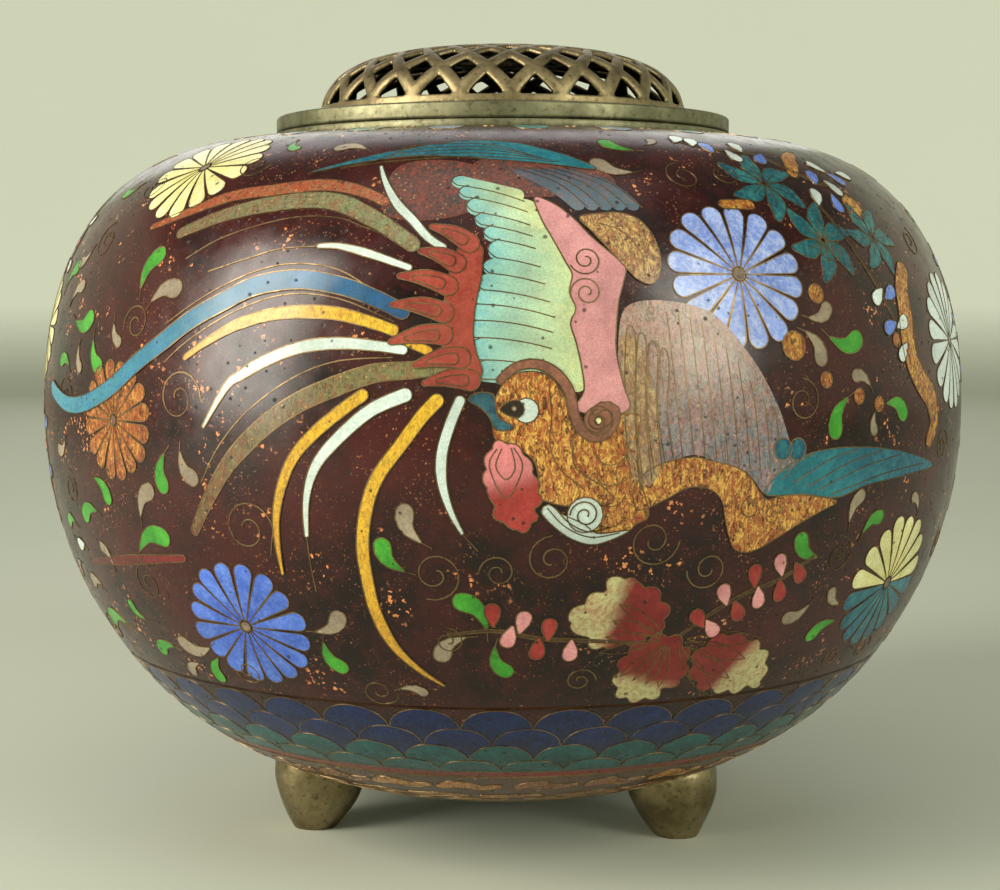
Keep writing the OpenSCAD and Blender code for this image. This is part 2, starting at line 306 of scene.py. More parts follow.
# Each paint is the colour at a cell's start, at its end, of its flecks, and the share of flecks.
PAINTS = {
    "tail_blue": ((44, 76, 112), (84, 158, 172), (34, 96, 150), 0.6),
    "white": ((208, 222, 212), (196, 208, 198), (150, 172, 176), 0.35),
    "yellow": ((236, 190, 50), (222, 164, 50), (176, 150, 60), 0.42),
    "mottled": ((132, 134, 102), (112, 100, 76), (112, 134, 88), 0.55),
    "streak": ((164, 84, 56), (176, 78, 44), (124, 116, 82), 0.6),
    "olive": ((118, 124, 84), (92, 68, 50), (126, 122, 74), 0.55),
    "dark_red": ((120, 34, 32), (78, 26, 26), (40, 18, 18), 0.6),
    "red_scale": ((138, 54, 44), (146, 62, 50), (168, 90, 70), 0.4),
    "wing": ((108, 172, 178), (206, 208, 142), (150, 192, 160), 0.5),
    "pink": ((204, 140, 142), (198, 134, 136), (216, 160, 158), 0.35),
    "gold": ((172, 102, 52), (150, 84, 46), (236, 188, 92), 0.9),
    "sand": ((160, 136, 104), (140, 120, 100), (214, 182, 124), 0.5),
    "gold_dust": ((146, 116, 84), (130, 98, 72), (228, 190, 112), 0.75),
    "ochre": ((176, 112, 48), (150, 84, 40), (222, 172, 72), 0.85),
    "ochre_dark": ((116, 66, 30), (92, 52, 26), (186, 120, 52), 0.8),
    "teal": ((26, 108, 124), (20, 70, 100), (60, 140, 140), 0.5),
    "teal_leaf": ((28, 92, 98), (20, 64, 84), (70, 146, 138), 0.5),
    "teal_dark": ((58, 62, 62), (62, 50, 44), (150, 70, 54), 0.5),
    "navy": ((44, 66, 84), (84, 108, 122), (130, 90, 80), 0.5),
    "grey_wing": ((158, 142, 126), (104, 122, 130), (200, 144, 138), 0.5),
    "crest": ((112, 74, 58), (128, 84, 70), (170, 112, 84), 0.5),
    "petal_blue": ((44, 74, 176), (74, 110, 206), (124, 156, 226), 0.4),
    "periwinkle": ((112, 138, 222), (138, 162, 234), (228, 232, 240), 0.45),
    "cream": ((210, 200, 112), (216, 212, 150), (232, 230, 194), 0.5),
    "orange": ((158, 88, 44), (130, 68, 36), (206, 146, 70), 0.8),
    "chalk": ((204, 216, 216), (226, 234, 230), (154, 182, 192), 0.4),
    "green": ((58, 150, 42), (46, 124, 40), (104, 178, 62), 0.35),
    "tan": ((146, 130, 110), (164, 150, 128), (108, 92, 78), 0.45),
    "peony": ((118, 28, 28), (196, 190, 138), (140, 48, 40), 0.6),
    "bud_red": ((146, 38, 38), (158, 48, 44), (190, 90, 76), 0.35),
    "bud_pink": ((208, 128, 134), (216, 146, 148), (236, 190, 184), 0.35),
    "bud_white": ((216, 226, 222), (208, 218, 214), (166, 186, 196), 0.4),
    "bud_blue": ((84, 116, 206), (96, 128, 214), (160, 184, 234), 0.4),
    "beak": ((46, 92, 106), (34, 70, 86), (80, 130, 134), 0.4),
    "wattle": ((208, 126, 128), (150, 48, 42), (176, 84, 76), 0.3),
    "iris": ((26, 20, 18), (40, 30, 24), (60, 50, 40), 0.3),
    "heart": ((120, 104, 96), (96, 84, 80), (180, 150, 110), 0.6),
    "stem": ((58, 40, 26), (66, 46, 30), (110, 76, 46), 0.5),
    "scale_blue": ((5, 24, 76), (4, 15, 48), (18, 54, 116), 0.4),
    "scale_teal": ((5, 78, 82), (4, 46, 50), (24, 110, 104), 0.4),
    "lappet_teal": ((28, 116, 122), (36, 136, 138), (80, 170, 160), 0.4),
    "lappet_blue": ((96, 116, 146), (120, 138, 164), (160, 176, 190), 0.4),
}

# ---------------------------------------------------------------- curves on the body


def smooth(points, closed=False, step=0.5):
    """A round curve through the points, sampled about every step millimetres."""
    p = np.array(points, float)
    n = len(p)
    out = []
    for i in range(n if closed else n - 1):
        before, after = (p[i - 1], p[(i + 2) % n]) if closed else (p[max(i - 1, 0)], p[min(i + 2, n - 1)])
        here, there = p[i], p[(i + 1) % n]
        count = max(2, math.ceil(np.linalg.norm(there - here) / step))
        for t in np.arange(count) / count:
            bend = 2 * before - 5 * here + 4 * there - after
            twist = 3 * here - before - 3 * there + after
            out.append(here + 0.5 * t * ((there - before) + t * (bend + t * twist)))
    if not closed:
        out.append(p[-1])
    return np.array(out)


def local(centre, points):
    """Millimetre offsets from a centre (a, s) as points (a, s)."""
    p = np.array(points, float)
    s = centre[1] + p[:, 1]
    return np.column_stack([centre[0] + p[:, 0] / per_degree(s), s])


def arc(centre, radius, start, end, step=12):
    """Part of a circle in millimetres, between two angles in degrees."""
    count = max(2, math.ceil(abs(end - start) / step))
    turn = np.linspace(start, end, count + 1) * DEGREE
    return local(centre, np.column_stack([np.cos(turn), np.sin(turn)]) * radius)


def coil(centre, radius, turns, start, hand=1):
    """A spiral that winds in from its outer radius."""
    share = np.linspace(0, 1, max(8, int(turns * 20)))
    turn = (start + hand * share * turns * 360) * DEGREE
    reach = radius * (1 - 0.82 * share)
    return local(centre, np.column_stack([np.cos(turn) * reach, np.sin(turn) * reach]))


def across(path, closed=False):
    """Steps of one millimetre to the left of a path, as (a, s)."""
    k = per_degree(path[:, 1])
    if closed:
        d = np.roll(path, -1, axis=0) - np.roll(path, 1, axis=0)
    else:
        d = np.gradient(path, axis=0)
    mm = np.column_stack([d[:, 0] * k, d[:, 1]])
    size = np.maximum(np.linalg.norm(mm, axis=1), 1e-9)
    return np.column_stack([-mm[:, 1] / size / k, mm[:, 0] / size])


def measure(path):
    """How far along a path each of its points is, in millimetres."""
    d = np.diff(path, axis=0)
    d[:, 0] *= per_degree(path[1:, 1])
    return np.concatenate([[0], np.cumsum(np.linalg.norm(d, axis=1))])


# ---------------------------------------------------------------- cells and wires

FIRST_LIFT = 0.04      # how far the lowest layer of cells stands off the ground glaze
LAYER = 0.03           # how far each further layer stands off the one below
WIRE_UP = 0.024        # how far a wire stands off its cell
SUNK = 0.16            # how deep a cell reaches into the ground glaze
WIRE = 0.2             # width of a cloison wire
STRIP_LANES = 5        # points across a strip
PATCH_STEP = 1.3       # spacing of the points inside a patch
END_ANGLES = np.arange(0, 91, 18) * DEGREE


class Inlay:
    """Collects thin closed cells of enamel and the wires round them, as two meshes."""

    def __init__(self, name, slot="motif_enamel", material=INLAY):
        self.name, self.slot, self.material = name, slot, material
        self.turn = 0
        self.cells = {"points": [], "faces": [], "tint": [], "fleck": [], "count": 0}
        self.wires = {"points": [], "faces": [], "count": 0}

    def at(self, points, lift):
        return place(points + np.array([self.turn, 0]), lift)

    def solid(self, points, faces, along, paint, layer):
        """A closed sheet: faces over points on top, the same below, and a wall round the edge."""
        lift = FIRST_LIFT + LAYER * layer
        n = len(points)
        base = self.cells["count"]
        edges = {(f[i], f[(i + 1) % len(f)]) for f in faces for i in range(len(f))}
        walls = [(b, a, a + n, b + n) for a, b in edges if (b, a) not in edges]
        under = [tuple(i + n for i in reversed(f)) for f in faces]
        self.cells["faces"] += [tuple(i + base for i in f) for f in [*faces, *walls, *under]]
        self.cells["points"] += [self.at(points, lift), self.at(points, -SUNK)]
        start, end, fleck, share = PAINTS[paint]
        glow = dice.uniform(0.9, 1.1)
        tint = np.outer(1 - along, rgb(*start)) + np.outer(along, rgb(*end))
        tint[:, :3] *= glow
        self.cells["tint"] += [tint, tint]
        self.cells["fleck"] += [np.tile(rgb(*fleck, share), (2 * n, 1))]
        self.cells["count"] += 2 * n

    def wire(self, path, layer=0, closed=False, width=WIRE, round_off=True):
        """A wire on edge along a path, its top a little above the enamel."""
        path = smooth(path, closed) if round_off else np.array(path, float)
        side = across(path, closed) * width / 2
        top = FIRST_LIFT + LAYER * layer + WIRE_UP
        loops = [self.at(path - side, -SUNK), self.at(path - side * 0.6, top),
                 self.at(path + side * 0.6, top), self.at(path + side, -SUNK)]
        n, base = len(path), self.wires["count"]
        self.wires["points"].append(np.stack(loops, axis=1).reshape(-1, 3))
        for i in range(n if closed else n - 1):
            here, there = base + 4 * i, base + 4 * ((i + 1) % n)
            self.wires["faces"] += [(here + j, there + j, there + (j + 1) % 4, here + (j + 1) % 4)
                                    for j in range(4)]
        if not closed:
            last = base + 4 * (n - 1)
            self.wires["faces"] += [tuple(base + j for j in range(4)),
                                    tuple(last + j for j in (3, 2, 1, 0))]
        self.wires["count"] += 4 * n

    def strip(self, path, widths, paint, layer=0, edged=True):
        """A feather, petal or leaf: a path with widths spread evenly along it and round ends."""
        fine = smooth(path, step=0.2)
        length = measure(fine)
        total = length[-1]
        widths = np.atleast_1d(widths)
        ends = [min(widths[0], total) / 2 * (1 - np.cos(END_ANGLES)),
                total - min(widths[-1], total) / 2 * (1 - np.cos(END_ANGLES))]
        stops = np.unique(np.round(np.concatenate([np.arange(0, total, 0.8), *ends]), 2))
        stops = stops[np.concatenate([[True], np.diff(stops) > 0.03])]
        stops[-1] = total
        line = np.column_stack([np.interp(stops, length, fine[:, i]) for i in range(2)])
        along = stops / total
        wide = np.interp(along, np.linspace(0, 1, len(widths)), widths) if len(widths) > 1 else widths[0]
        for gap, cap in ((stops, widths[0]), (total - stops, widths[-1])):
            share = np.clip(gap / (cap / 2 + 1e-6), 0, 1)
            wide = wide * np.sqrt(np.maximum(1 - (1 - share) ** 2, 0))
        wide = np.maximum(wide, 0.07)
        side = across(line) * wide[:, None] / 2
        lanes = STRIP_LANES
        lane = np.linspace(-1, 1, lanes)
        points = (line[:, None] + side[:, None] * lane[None, :, None]).reshape(-1, 2)
        faces = [(i * lanes + j, (i + 1) * lanes + j, (i + 1) * lanes + j + 1, i * lanes + j + 1)
                 for i in range(len(line) - 1) for j in range(lanes - 1)]
        self.solid(points, faces, np.repeat(along, lanes), paint, layer)
        if edged:
            self.wire(np.vstack([line - side, (line + side)[::-1]]), layer, closed=True, round_off=False)

    def patch(self, edge, paint, layer=0, edged=True, fade=None, toward=None, round_off=True):
        """A cell with a free outline. Its end colour is at the edge, within fade, or towards a point."""
        edge = smooth(edge, closed=True, step=0.6) if round_off else np.array(edge, float)
        k = per_degree(edge[:, 1].mean())
        flat = edge * [k, 1]
        if np.sum(np.roll(flat[:, 0], -1) * flat[:, 1] - flat[:, 0] * np.roll(flat[:, 1], -1)) > 0:
            flat, edge = flat[::-1], edge[::-1]
        low, high = flat.min(axis=0), flat.max(axis=0)
        step = PATCH_STEP
        grid = [(x + (j % 2) * step / 2, y) for j, y in enumerate(np.arange(low[1], high[1], step * 0.87))
                for x in np.arange(low[0], high[0] + step, step)]
        inner = [p for p in grid if inside(p, flat) and np.min(np.linalg.norm(flat - p, axis=1)) > 0.45]
        n = len(flat)
        found = geometry.delaunay_2d_cdt([Vector(p) for p in [*flat, *inner]],
                                         [(i, (i + 1) % n) for i in range(n)], [], 1, 1e-6)
        points = np.array([tuple(v) for v in found[0]])
        away = np.array([np.min(np.linalg.norm(flat - p, axis=1)) for p in points])
        if toward is not None:
            start, end = np.array(toward[0]) * [k, 1], np.array(toward[1]) * [k, 1]
            along = np.clip((points - start) @ (end - start) / np.sum((end - start) ** 2), 0, 1)
        else:
            along = np.clip(1 - away / (fade or 1.0), 0, 1)
        self.solid(points / [k, 1], [tuple(f) for f in found[2]], along, paint, layer)
        if edged:
            self.wire(edge, layer, closed=True, round_off=False)

    def disc(self, centre, radius, paint, layer=0):
        self.patch(arc(centre, radius, 0, 360, 24)[:-1], paint, layer, round_off=False)

    def make(self):
        """Turns what was collected into objects."""
        if self.cells["count"]:
            points = np.vstack(self.cells["points"])
            piece = mesh_piece(self.name, points, self.cells["faces"], self.material, "vessel")
            for name in ("tint", "fleck"):
                values = np.vstack(self.cells[name]).astype(np.float32)
                attribute = piece.data.attributes.new(name, "FLOAT_COLOR", "POINT")
                attribute.data.foreach_set("color", values.ravel())
        if self.wires["count"]:
            points = np.vstack(self.wires["points"])
            mesh_piece(self.name + "_wires", points, self.wires["faces"], WIRE_METAL, "vessel")


def inside(point, ring):
    """True if a point is inside a closed ring of points."""
    x, y = point
    x0, y0 = ring[:, 0], ring[:, 1]
    x1, y1 = np.roll(x0, -1), np.roll(y0, -1)
    crosses = (y0 > y) != (y1 > y)
    reach = x0 + (y - y0) * (x1 - x0) / np.where(y1 == y0, 1, y1 - y0)
    return bool(np.sum(crosses & (x < reach)) % 2)


def mesh_piece(name, points, faces, material, body, sharp=40, nodes=()):
    """An object that rides on a body, smooth but for edges sharper than the given angle."""
    mesh = bpy.data.meshes.new(name)
    mesh.from_pydata(np.asarray(points).tolist(), [], [tuple(int(i) for i in f) for f in faces])
    mesh.polygons.foreach_set("use_smooth", [True] * len(mesh.polygons))
    mesh.set_sharp_from_angle(angle=sharp * DEGREE)
    mesh.materials.append(material)
    mesh.update()
    piece = bpy.data.objects.new(name, mesh)
    bpy.context.scene.collection.objects.link(piece)
    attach(piece, body)
    if nodes:
        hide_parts(*nodes)
    return piece


def revolved(profile, turns):
    """Points in metres and faces of a closed profile (r, z) turned about the axis, inside on its left."""
    profile = np.array(profile, float) * MM
    n = len(profile)
    angle = np.arange(turns) * 2 * math.pi / turns
    points = np.stack([np.outer(np.sin(angle), profile[:, 0]), -np.outer(np.cos(angle), profile[:, 0]),
                       np.tile(profile[:, 1], (turns, 1))], axis=2).reshape(-1, 3)
    faces = [(i * n + j, k * n + j, k * n + (j + 1) % n, i * n + (j + 1) % n)
             for i, k in ((i, (i + 1) % turns) for i in range(turns)) for j in range(n)]
    return points, faces


def turned(name, profile, material, body, nodes, turns=256, sharp=40):
    """A piece made by turning a closed profile."""
    points, faces = revolved(profile, turns)
    mesh_piece(name, points, faces, material, body, sharp, nodes)


def skin_profile(low, high):
    """A closed profile of the glaze between two places on the outline."""
    s = np.linspace(low, high, max(3, math.ceil((high - low) / SKIN_STEP)))
    outer = np.column_stack(outline(s))
    inner = np.column_stack(outline(s, -GLAZE_T))[::-1]
    return np.vstack([outer, inner])


# ---------------------------------------------------------------- glazes and border rings

GROUND = ground_enamel("brown_ground", rgb(22, 8, 6), rgb(66, 19, 17), rgb(232, 148, 92), 0.9)
TEAL_GROUND = ground_enamel("teal_scale_ground", rgb(14, 64, 68), rgb(20, 92, 92), rgb(90, 160, 150), 0.3)
RED_GROUND = ground_enamel("red_line_enamel", rgb(94, 7, 5), rgb(120, 12, 8), rgb(150, 50, 34), 0.25)
OCHRE_GROUND = ground_enamel("ochre_ground", rgb(50, 27, 12), rgb(84, 48, 18), rgb(196, 136, 66), 0.6)
BASE_GROUND = ground_enamel("base_counter_enamel", rgb(30, 40, 42), rgb(48, 62, 62), rgb(96, 112, 108), 0.4)
LINING = ground_enamel("lining_enamel", rgb(70, 138, 136), rgb(98, 166, 160), rgb(150, 196, 186), 0.4)
COPPER = metal("old_copper", rgb(196, 112, 70), rgb(150, 80, 50), rgb(70, 40, 26))

GLAZES = {
    "scroll_band": ("scroll_glaze", OCHRE_GROUND, "ochre_enamel"),
    "red_line": ("red_glaze", RED_GROUND, "red_enamel"),
    "lower_scales": ("lower_scale_glaze", TEAL_GROUND, "scale_enamel"),
    "upper_scales": ("upper_scale_glaze", GROUND, "scale_enamel"),
    "main_field": ("field_glaze", GROUND, "ground_enamel"),
    "neck_border": ("neck_glaze", GROUND, "ground_enamel"),
}


# How far the ring wires bulge out of the glaze
RING_CROWN = 0.08
WIRE_CROWNS = {"neck_wire": 0.14, "field_wire": 0.02}


def glazes():
    """The outer enamel as smooth skins, the wires between them, and the lining."""
    for node, (name, material, slot) in GLAZES.items():
        turned(name, skin_profile(*span(node)), material, "vessel", [node])
    for node in ("scroll_wire", "red_wire", "field_wire", "neck_wire", "base_wire"):
        low, high = span(node)
        raised = WIRE_CROWNS.get(node, RING_CROWN)
        s = np.linspace(low, high, 7)
        crown = raised * np.sin(np.linspace(0, math.pi, 7)) ** 0.5
        foot = np.column_stack(outline(s, -GLAZE_T))[::-1]
        profile = np.vstack([np.column_stack(outline(s, crown)), foot])
        material = GRIMY_WIRE if node == "field_wire" else WIRE_METAL
        turned(node + "_round", profile, material, "vessel", [node], sharp=70)
    low, high = span("base_enamel")
    side = np.array([outline(s) for s in np.linspace(low, high, 5)])
    under = [(AXIS_GAP, BASE_Z), (BASE_R / 2, BASE_Z), *side]
    deep = [outline(high, -GLAZE_T), (BASE_R + 0.5, BASE_Z + GLAZE_T), (AXIS_GAP, BASE_Z + GLAZE_T)]
    turned("base_glaze", [*under, *deep], BASE_GROUND, "vessel", ["base_enamel"])
    s = np.linspace(ARC[0] + 0.5, ARC[-1] - 1.5, 90)
    lip = MOUTH_Z - WALL_T
    bore = rings("mouth_rim")[:, 0].min()
    back = np.column_stack(outline(s, -WALL_T))
    front = np.column_stack(outline(s, -WALL_T - LINING_T))[::-1]
    floor_z = BASE_Z + WALL_T
    front = front[(front[:, 1] > floor_z + LINING_T) & (front[:, 1] < lip - LINING_T)]
    profile = [(AXIS_GAP, floor_z), *back[back[:, 1] > floor_z], (back[-1][0], lip), (bore, lip),
               (bore, lip - LINING_T), *front, (AXIS_GAP, floor_z + LINING_T)]
    turned("lining", profile, LINING, "vessel", ["enamel_lining"], 160)
    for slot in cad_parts["copper_body"].material_slots:
        slot.material = COPPER


# ---------------------------------------------------------------- repeating borders

SCALES = 38
# Rows of scales: the height of the tops, the first centre, and the paint
SCALE_ROWS = [(-32.0, 4.2, "scale_blue"), (-35.2, -1.2, "scale_blue"), (-38.4, 4.7, "scale_teal"),
              (-41.8, 0.0, "scale_teal")]
SCALE_H = 4.2


def scale_borders():
    """Four rows of scales, each over the lower half of the row above it."""
    border = Inlay("scale_border", "scale_enamel")
    bottom = span("lower_scales")[0]
    for row, (top, first, paint) in enumerate(SCALE_ROWS):
        half = 180 / SCALES
        foot = max(top - SCALE_H, bottom)
        for i in range(SCALES):
            centre = first + i * 2 * half
            bow = [(centre + half * math.cos(t), foot + (top - foot) * math.sin(t) ** 0.8)
                   for t in np.linspace(0, math.pi, 15)]
            skirt = [(centre - side * half * 0.985, max(foot - SCALE_H, bottom)) for side in (1, -1)]
            shape = [*bow, *skirt] if foot > bottom else bow
            middle = ((centre, top), (centre, foot))
            border.patch(shape, paint, row, edged=False, toward=middle, round_off=False)
            border.wire(bow, row, round_off=False)
    border.make()


# Rows of cloud scrolls: depth below the band's top, how many, their height, and hand
SCROLL_ROWS = [(3.4, 28, 2.6, 1), (7.4, 25, 2.3, -1), (11.0, 22, 2.0, 1)]


def scroll_border():
    """Cloud scrolls round the underside, in three rows."""
    border = Inlay("scroll_border", "ochre_enamel", MARBLE)
    high = span("scroll_band")[1]
    for depth, count, size, hand in SCROLL_ROWS:
        level = high - depth
        for i in range(count):
            centre = (360 / count * (i + dice.uniform(-0.08, 0.08) + 0.5 * (hand < 0)), level)
            reach = 180 / count * per_degree(level) * 0.92
            shape = [(-reach, -0.2 * size), (-0.4 * reach, 0.35 * size * hand), (0.3 * reach, -0.1 * size),
                     (reach, 0.25 * size * hand)]
            paint = "ochre_dark" if i % 3 else "ochre"
            border.strip(local(centre, shape), (0.4 * size, size, 0.75 * size, 0.35 * size), paint, 0)
            border.wire(coil(local(centre, [(0.1 * reach, 0)])[0], 0.42 * size, 1.3, 90 * hand, hand), 0,
                        width=0.22, round_off=False)
    border.make()


LAPPETS, LAPPET_TURN = 24, -5
LAPPET_TIP, LAPPET_EYE = 42.9, 46.5    # how high the lappets end, and the rings of wire between them


def neck_lappets():
    """Hanging lappets under the rim, teal and blue in turn."""
    border = Inlay("neck_lappets")
    high = span("neck_border")[1]
    apart = 360 / LAPPETS
    for i in range(LAPPETS):
        centre = LAPPET_TURN + apart * i
        paint = "lappet_teal" if i % 2 else "lappet_blue"
        path = [(centre, high - 0.2), (centre, high - 5), (centre, LAPPET_TIP)]
        border.strip(path, (3.2, 4.0, 3.9), paint, 0)
        border.wire(arc((centre + apart / 2, LAPPET_EYE), 0.8, 0, 330), 0, round_off=False)
    border.make()


# ---------------------------------------------------------------- flowers, leaves, scrolls


PETALS = 16
HEART = 0.08           # a flower's heart, as a share of its radius
PETAL_FOOT = 0.1       # where its petals start
BUD_LONG, BUD_WIDE = 2.9, 1.75


def chrysanthemum(inlay, centre, radius, paint, low_paint=None):
    """Round-ended petals about a small heart; low_paint colours the lower half."""
    half = math.tan(math.pi / PETALS)
    for i in range(PETALS):
        turn = (i + dice.uniform(0.46, 0.54)) * 2 * math.pi / PETALS
        reach = radius * dice.uniform(0.95, 1.0)
        shape = [(math.cos(turn) * d, math.sin(turn) * d) for d in np.linspace(PETAL_FOOT * radius, reach, 5)]
        widths = 2 * half * np.linspace(PETAL_FOOT * radius, reach * 0.9, 4) * 0.95
        used = low_paint if low_paint and math.sin(turn) < -0.1 else paint
        inlay.strip(local(centre, shape), widths, used)
    inlay.disc(centre, HEART * radius, "heart", 1)


def comma(inlay, fat, tip, paint):
    """A leaf like a comma, from its fat end to its curved tip. Its place decides the way it bends."""
    fat, tip = np.array(fat, float), np.array(tip, float)
    k = per_degree((fat[1] + tip[1]) / 2)
    reach = (tip - fat) * [k, 1]
    length = np.linalg.norm(reach)
    hand = 1 if (fat[0] * 7 + fat[1] * 3) % 2 > 1 else -1
    side = np.array([reach[1], -reach[0]]) / length * hand
    turn = [(0, 0), (0.26, 0.16), (0.6, 0.18), (1.0, -0.06)]
    path = [fat + (reach * t + side * length * b) / [k, 1] for t, b in turn]
    fatness = min(2.3, max(1.3, 0.46 * length))
    inlay.strip(path, (fatness * 0.95, fatness, fatness * 0.6, 0.2), paint)
    tail = path[3] + (path[3] - path[2]) * 0.5 - side * 0.1 * length / [k, 1]
    inlay.wire([path[3], tail], width=0.16)


def bud(inlay, centre, paint):
    """A teardrop bud whose tip points at the nearest stem."""
    centre = np.array(centre, float)
    k = per_degree(centre[1])
    gaps = (STEM_POINTS - centre) * [k, 1]
    toward = gaps[np.linalg.norm(gaps, axis=1).argmin()]
    toward = toward / max(np.linalg.norm(toward), 0.01)
    path = local(centre, [-toward * BUD_LONG * 0.4, toward * BUD_LONG * 0.1, toward * BUD_LONG * 0.6])
    inlay.strip(path, (BUD_WIDE, BUD_WIDE * 0.95, 0.25), paint, 1)


COMMAS = {
    "green": [((-7.2, -10), (-5.4, -13.8)), ((-0.3, -17), (3.5, -20.2)), ((6.2, -26.3), (3.9, -22.8)),
        ((-13.2, -26.5), (-15.8, -23)), ((-36.8, 20.3), (-39.7, 16.2)), ((-48.8, 13.2), (-53.5, 11.7)),
        ((-44.8, 6.8), (-47.8, 9.8)), ((-58, 18.5), (-62, 16.5)), ((-33.2, -6.5), (-33.5, -2.2)),
        ((-44.5, -9), (-47, -5.8)), ((-34, -12.3), (-40, -13.6)), ((-52, -11.8), (-48, -9.8)),
        ((-46.5, -21), (-44.5, -23.5)), ((-44.5, -28.5), (-40.5, -26.5)), ((-33.5, -31), (-32.5, -27)),
        ((-58, -26.5), (-51, -25)), ((19.5, 38.3), (22.8, 35.2)), ((-25, 36.5), (-28, 38.5)), ((47, 11),
        (42, 10.3)), ((42.5, -0.5), (43.8, 4)), ((54.7, 0.8), (51, 3.2)), ((38.5, -10.6), (41.3, -14)),
        ((52, -10.3), (48.3, -11.5)), ((44.5, -25), (48, -22.5))],
    "tan": [((-4.5, -6.3), (-3.5, -10.5)), ((-13, -18.7), (-16, -21.8)), ((-1.8, -24.8), (0.8, -21.3)),
        ((-4.2, -29.8), (-7.2, -28.7)), ((-28.4, -4.8), (-31, -2)), ((-35.3, -6.5), (-38.5, -9.5)),
        ((-32.5, 15.6), (-37, 14.8)), ((-41.3, 9.8), (-43.5, 11.8)), ((-50, 6.3), (-51.5, 9)),
        ((-53.5, 16), (-57, 14.8)), ((-38.5, -25), (-33, -26)), ((-39.5, -31), (-37, -28.5)),
        ((-49.5, -14.5), (-47, -16.5)), ((-58, -21), (-54, -20)), ((-19, 35.8), (-14, 36)),
        ((16.8, 33.4), (21, 30.7)), ((27, 39), (26, 37)), ((40.2, 7.5), (38.8, 11.4)), ((42.5, 14.5),
        (39.5, 12.6)), ((45, 6), (48, 5.3)), ((49, -0.3), (48.5, 2)), ((38.6, -20.8), (42.3, -20)),
        ((45.6, -17.9), (47.5, -20.5)), ((47.8, -7), (45.5, -10)), ((58, -8.5), (60.5, -10))],
}
BUDS = {
    "bud_red": [(3.9, -18.4), (10, -20.2), (8.8, -23.2), (26.8, -19.8), (33, -15), (31.8, -19.6),
        (37, -17.6), (39.3, -15.6)],
    "bud_pink": [(7.2, -19.3), (5.6, -21.6), (12.5, -23.5), (29.5, -17), (34.2, -18.2), (36.2, -14),
        (29, -21.5)],
    "bud_white": [(47.8, 28), (51.5, 15), (56, 12), (55, 8.5), (53.3, 29.2), (54, 33.5), (60, 32),
        (41.5, 37.5), (38.5, 34.6), (32, 39.3), (34, 38.5), (-56.5, -15.2)],
    "bud_blue": [(43, 34.3), (50.5, 31.3), (56.5, 31), (51, 26.7), (54.5, 15.5), (52.8, 11.5),
        (35.5, 37)],
}
# Stems that carry the buds
STEMS = [[(-1, -21.2), (4, -20.6), (9, -21.6), (14, -22), (20, -22.6)], [(25, -22), (28.5, -19.3),
         (32.5, -17.2), (36.5, -16), (41, -13.6)], [(31, 38.6), (36, 36.4), (42, 35.8), (48, 31.5),
         (52, 29.8), (57, 32.6)], [(47, 26.5), (50, 20), (53.5, 13.5), (56, 7.5)], [(-59, -14.6),
         (-54, -15.6)]]
STEM_POINTS = np.vstack([smooth(stem) for stem in STEMS])
# Spirals of bare wire: centre, radius, start angle, hand
SPIRALS = [((-22.5, -9.8), 3.3, 0, 1), ((-2, -14), 3, 250, 1), ((4.5, -13.7), 2, 180, -1), ((10, -12.3),
           2.7, 90, 1), ((20.5, -10.5), 3, 0, -1), ((27, -14), 2.5, 180, 1), ((37.6, 3.8), 2.5, 90, -1),
           ((-31, 4), 3.3, 0, 1), ((-39, 12), 2.4, 200, -1), ((-40, -18), 2.6, 60, 1), ((-10, -29.5),
           2.2, 0, -1), ((-52, 22), 2.6, 90, 1), ((-30, 33), 2.3, 0, -1), ((-48, 30), 2.2, 180, 1),
           ((28, 30.5), 2.3, 90, 1), ((45, 21), 2.0, 0, -1), ((48, -3.5), 1.6, 0, 1), ((45, -14), 2.3,
           90, -1), ((14, -27.5), 1.8, 0, 1), ((-1, -22), 1.7, 90, -1), ((-55, 3), 2.6, 0, 1),
           ((-55, -8), 2.3, 90, -1), ((-28, -28.5), 1.9, 180, 1), ((34, 31), 1.8, 30, -1), ((60, -28.5),
           2.0, 0, 1), ((66, 22), 2.2, 60, -1), ((66, -3), 2.3, 0, 1), ((52, -28.5), 1.7, 90, 1)]
FLOWERS = [((-25.5, -21.8), 8.2, "petal_blue", None), ((31, 17.7), 8.6, "periwinkle", None), ((-40, 33),
           8.4, "cream", None), ((-42, 1), 7.0, "orange", None), ((71, 9.5), 8.7, "chalk", None),
           ((57.5, -19), 8.8, "cream", "teal")]
PEONY = [
    [(12, -19.8), (12.8, -18), (14, -16.8), (15.5, -16), (16.2, -14.8), (18, -14.4), (19, -15.3),
     (20.5, -15.6), (22, -17), (23, -18.8), (22.8, -20.5), (21.5, -21.8), (20, -23), (17.5, -22.7),
     (16.3, -23.2), (14.8, -22.6), (13.8, -21.3)],
    [(19, -24), (18.4, -26), (18.3, -28), (18.8, -29.5), (20, -30.6), (22, -31), (24.2, -30.6),
     (25, -29.3), (26.5, -28.8), (27, -27.5), (26.8, -25), (25.5, -22.8), (23.5, -21.8), (21, -22.5)],
    [(28.5, -23.5), (31, -22.3), (33.5, -23), (35.5, -23.8), (37.5, -25.2), (38.8, -27), (39.4, -29),
     (39.6, -30.7), (37.5, -30.8), (36, -31.2), (34, -31), (32, -30.5), (30.5, -30.2), (29, -29),
     (27.8, -27), (27.6, -25)],
]


def ruffled(edge, depth, waves):
    """A closed outline with a small lobe at each of its waves."""
    ring = smooth(edge, closed=True, step=0.4)
    out = across(ring, closed=True)
    share = np.arange(len(ring)) / len(ring)
    middle = ring.mean(axis=0)
    sign = -1 if np.sum((ring - middle) * out) < 0 else 1
    return ring + sign * out * (depth * (np.abs(np.sin(share * math.pi * waves)) - 0.5))[:, None]


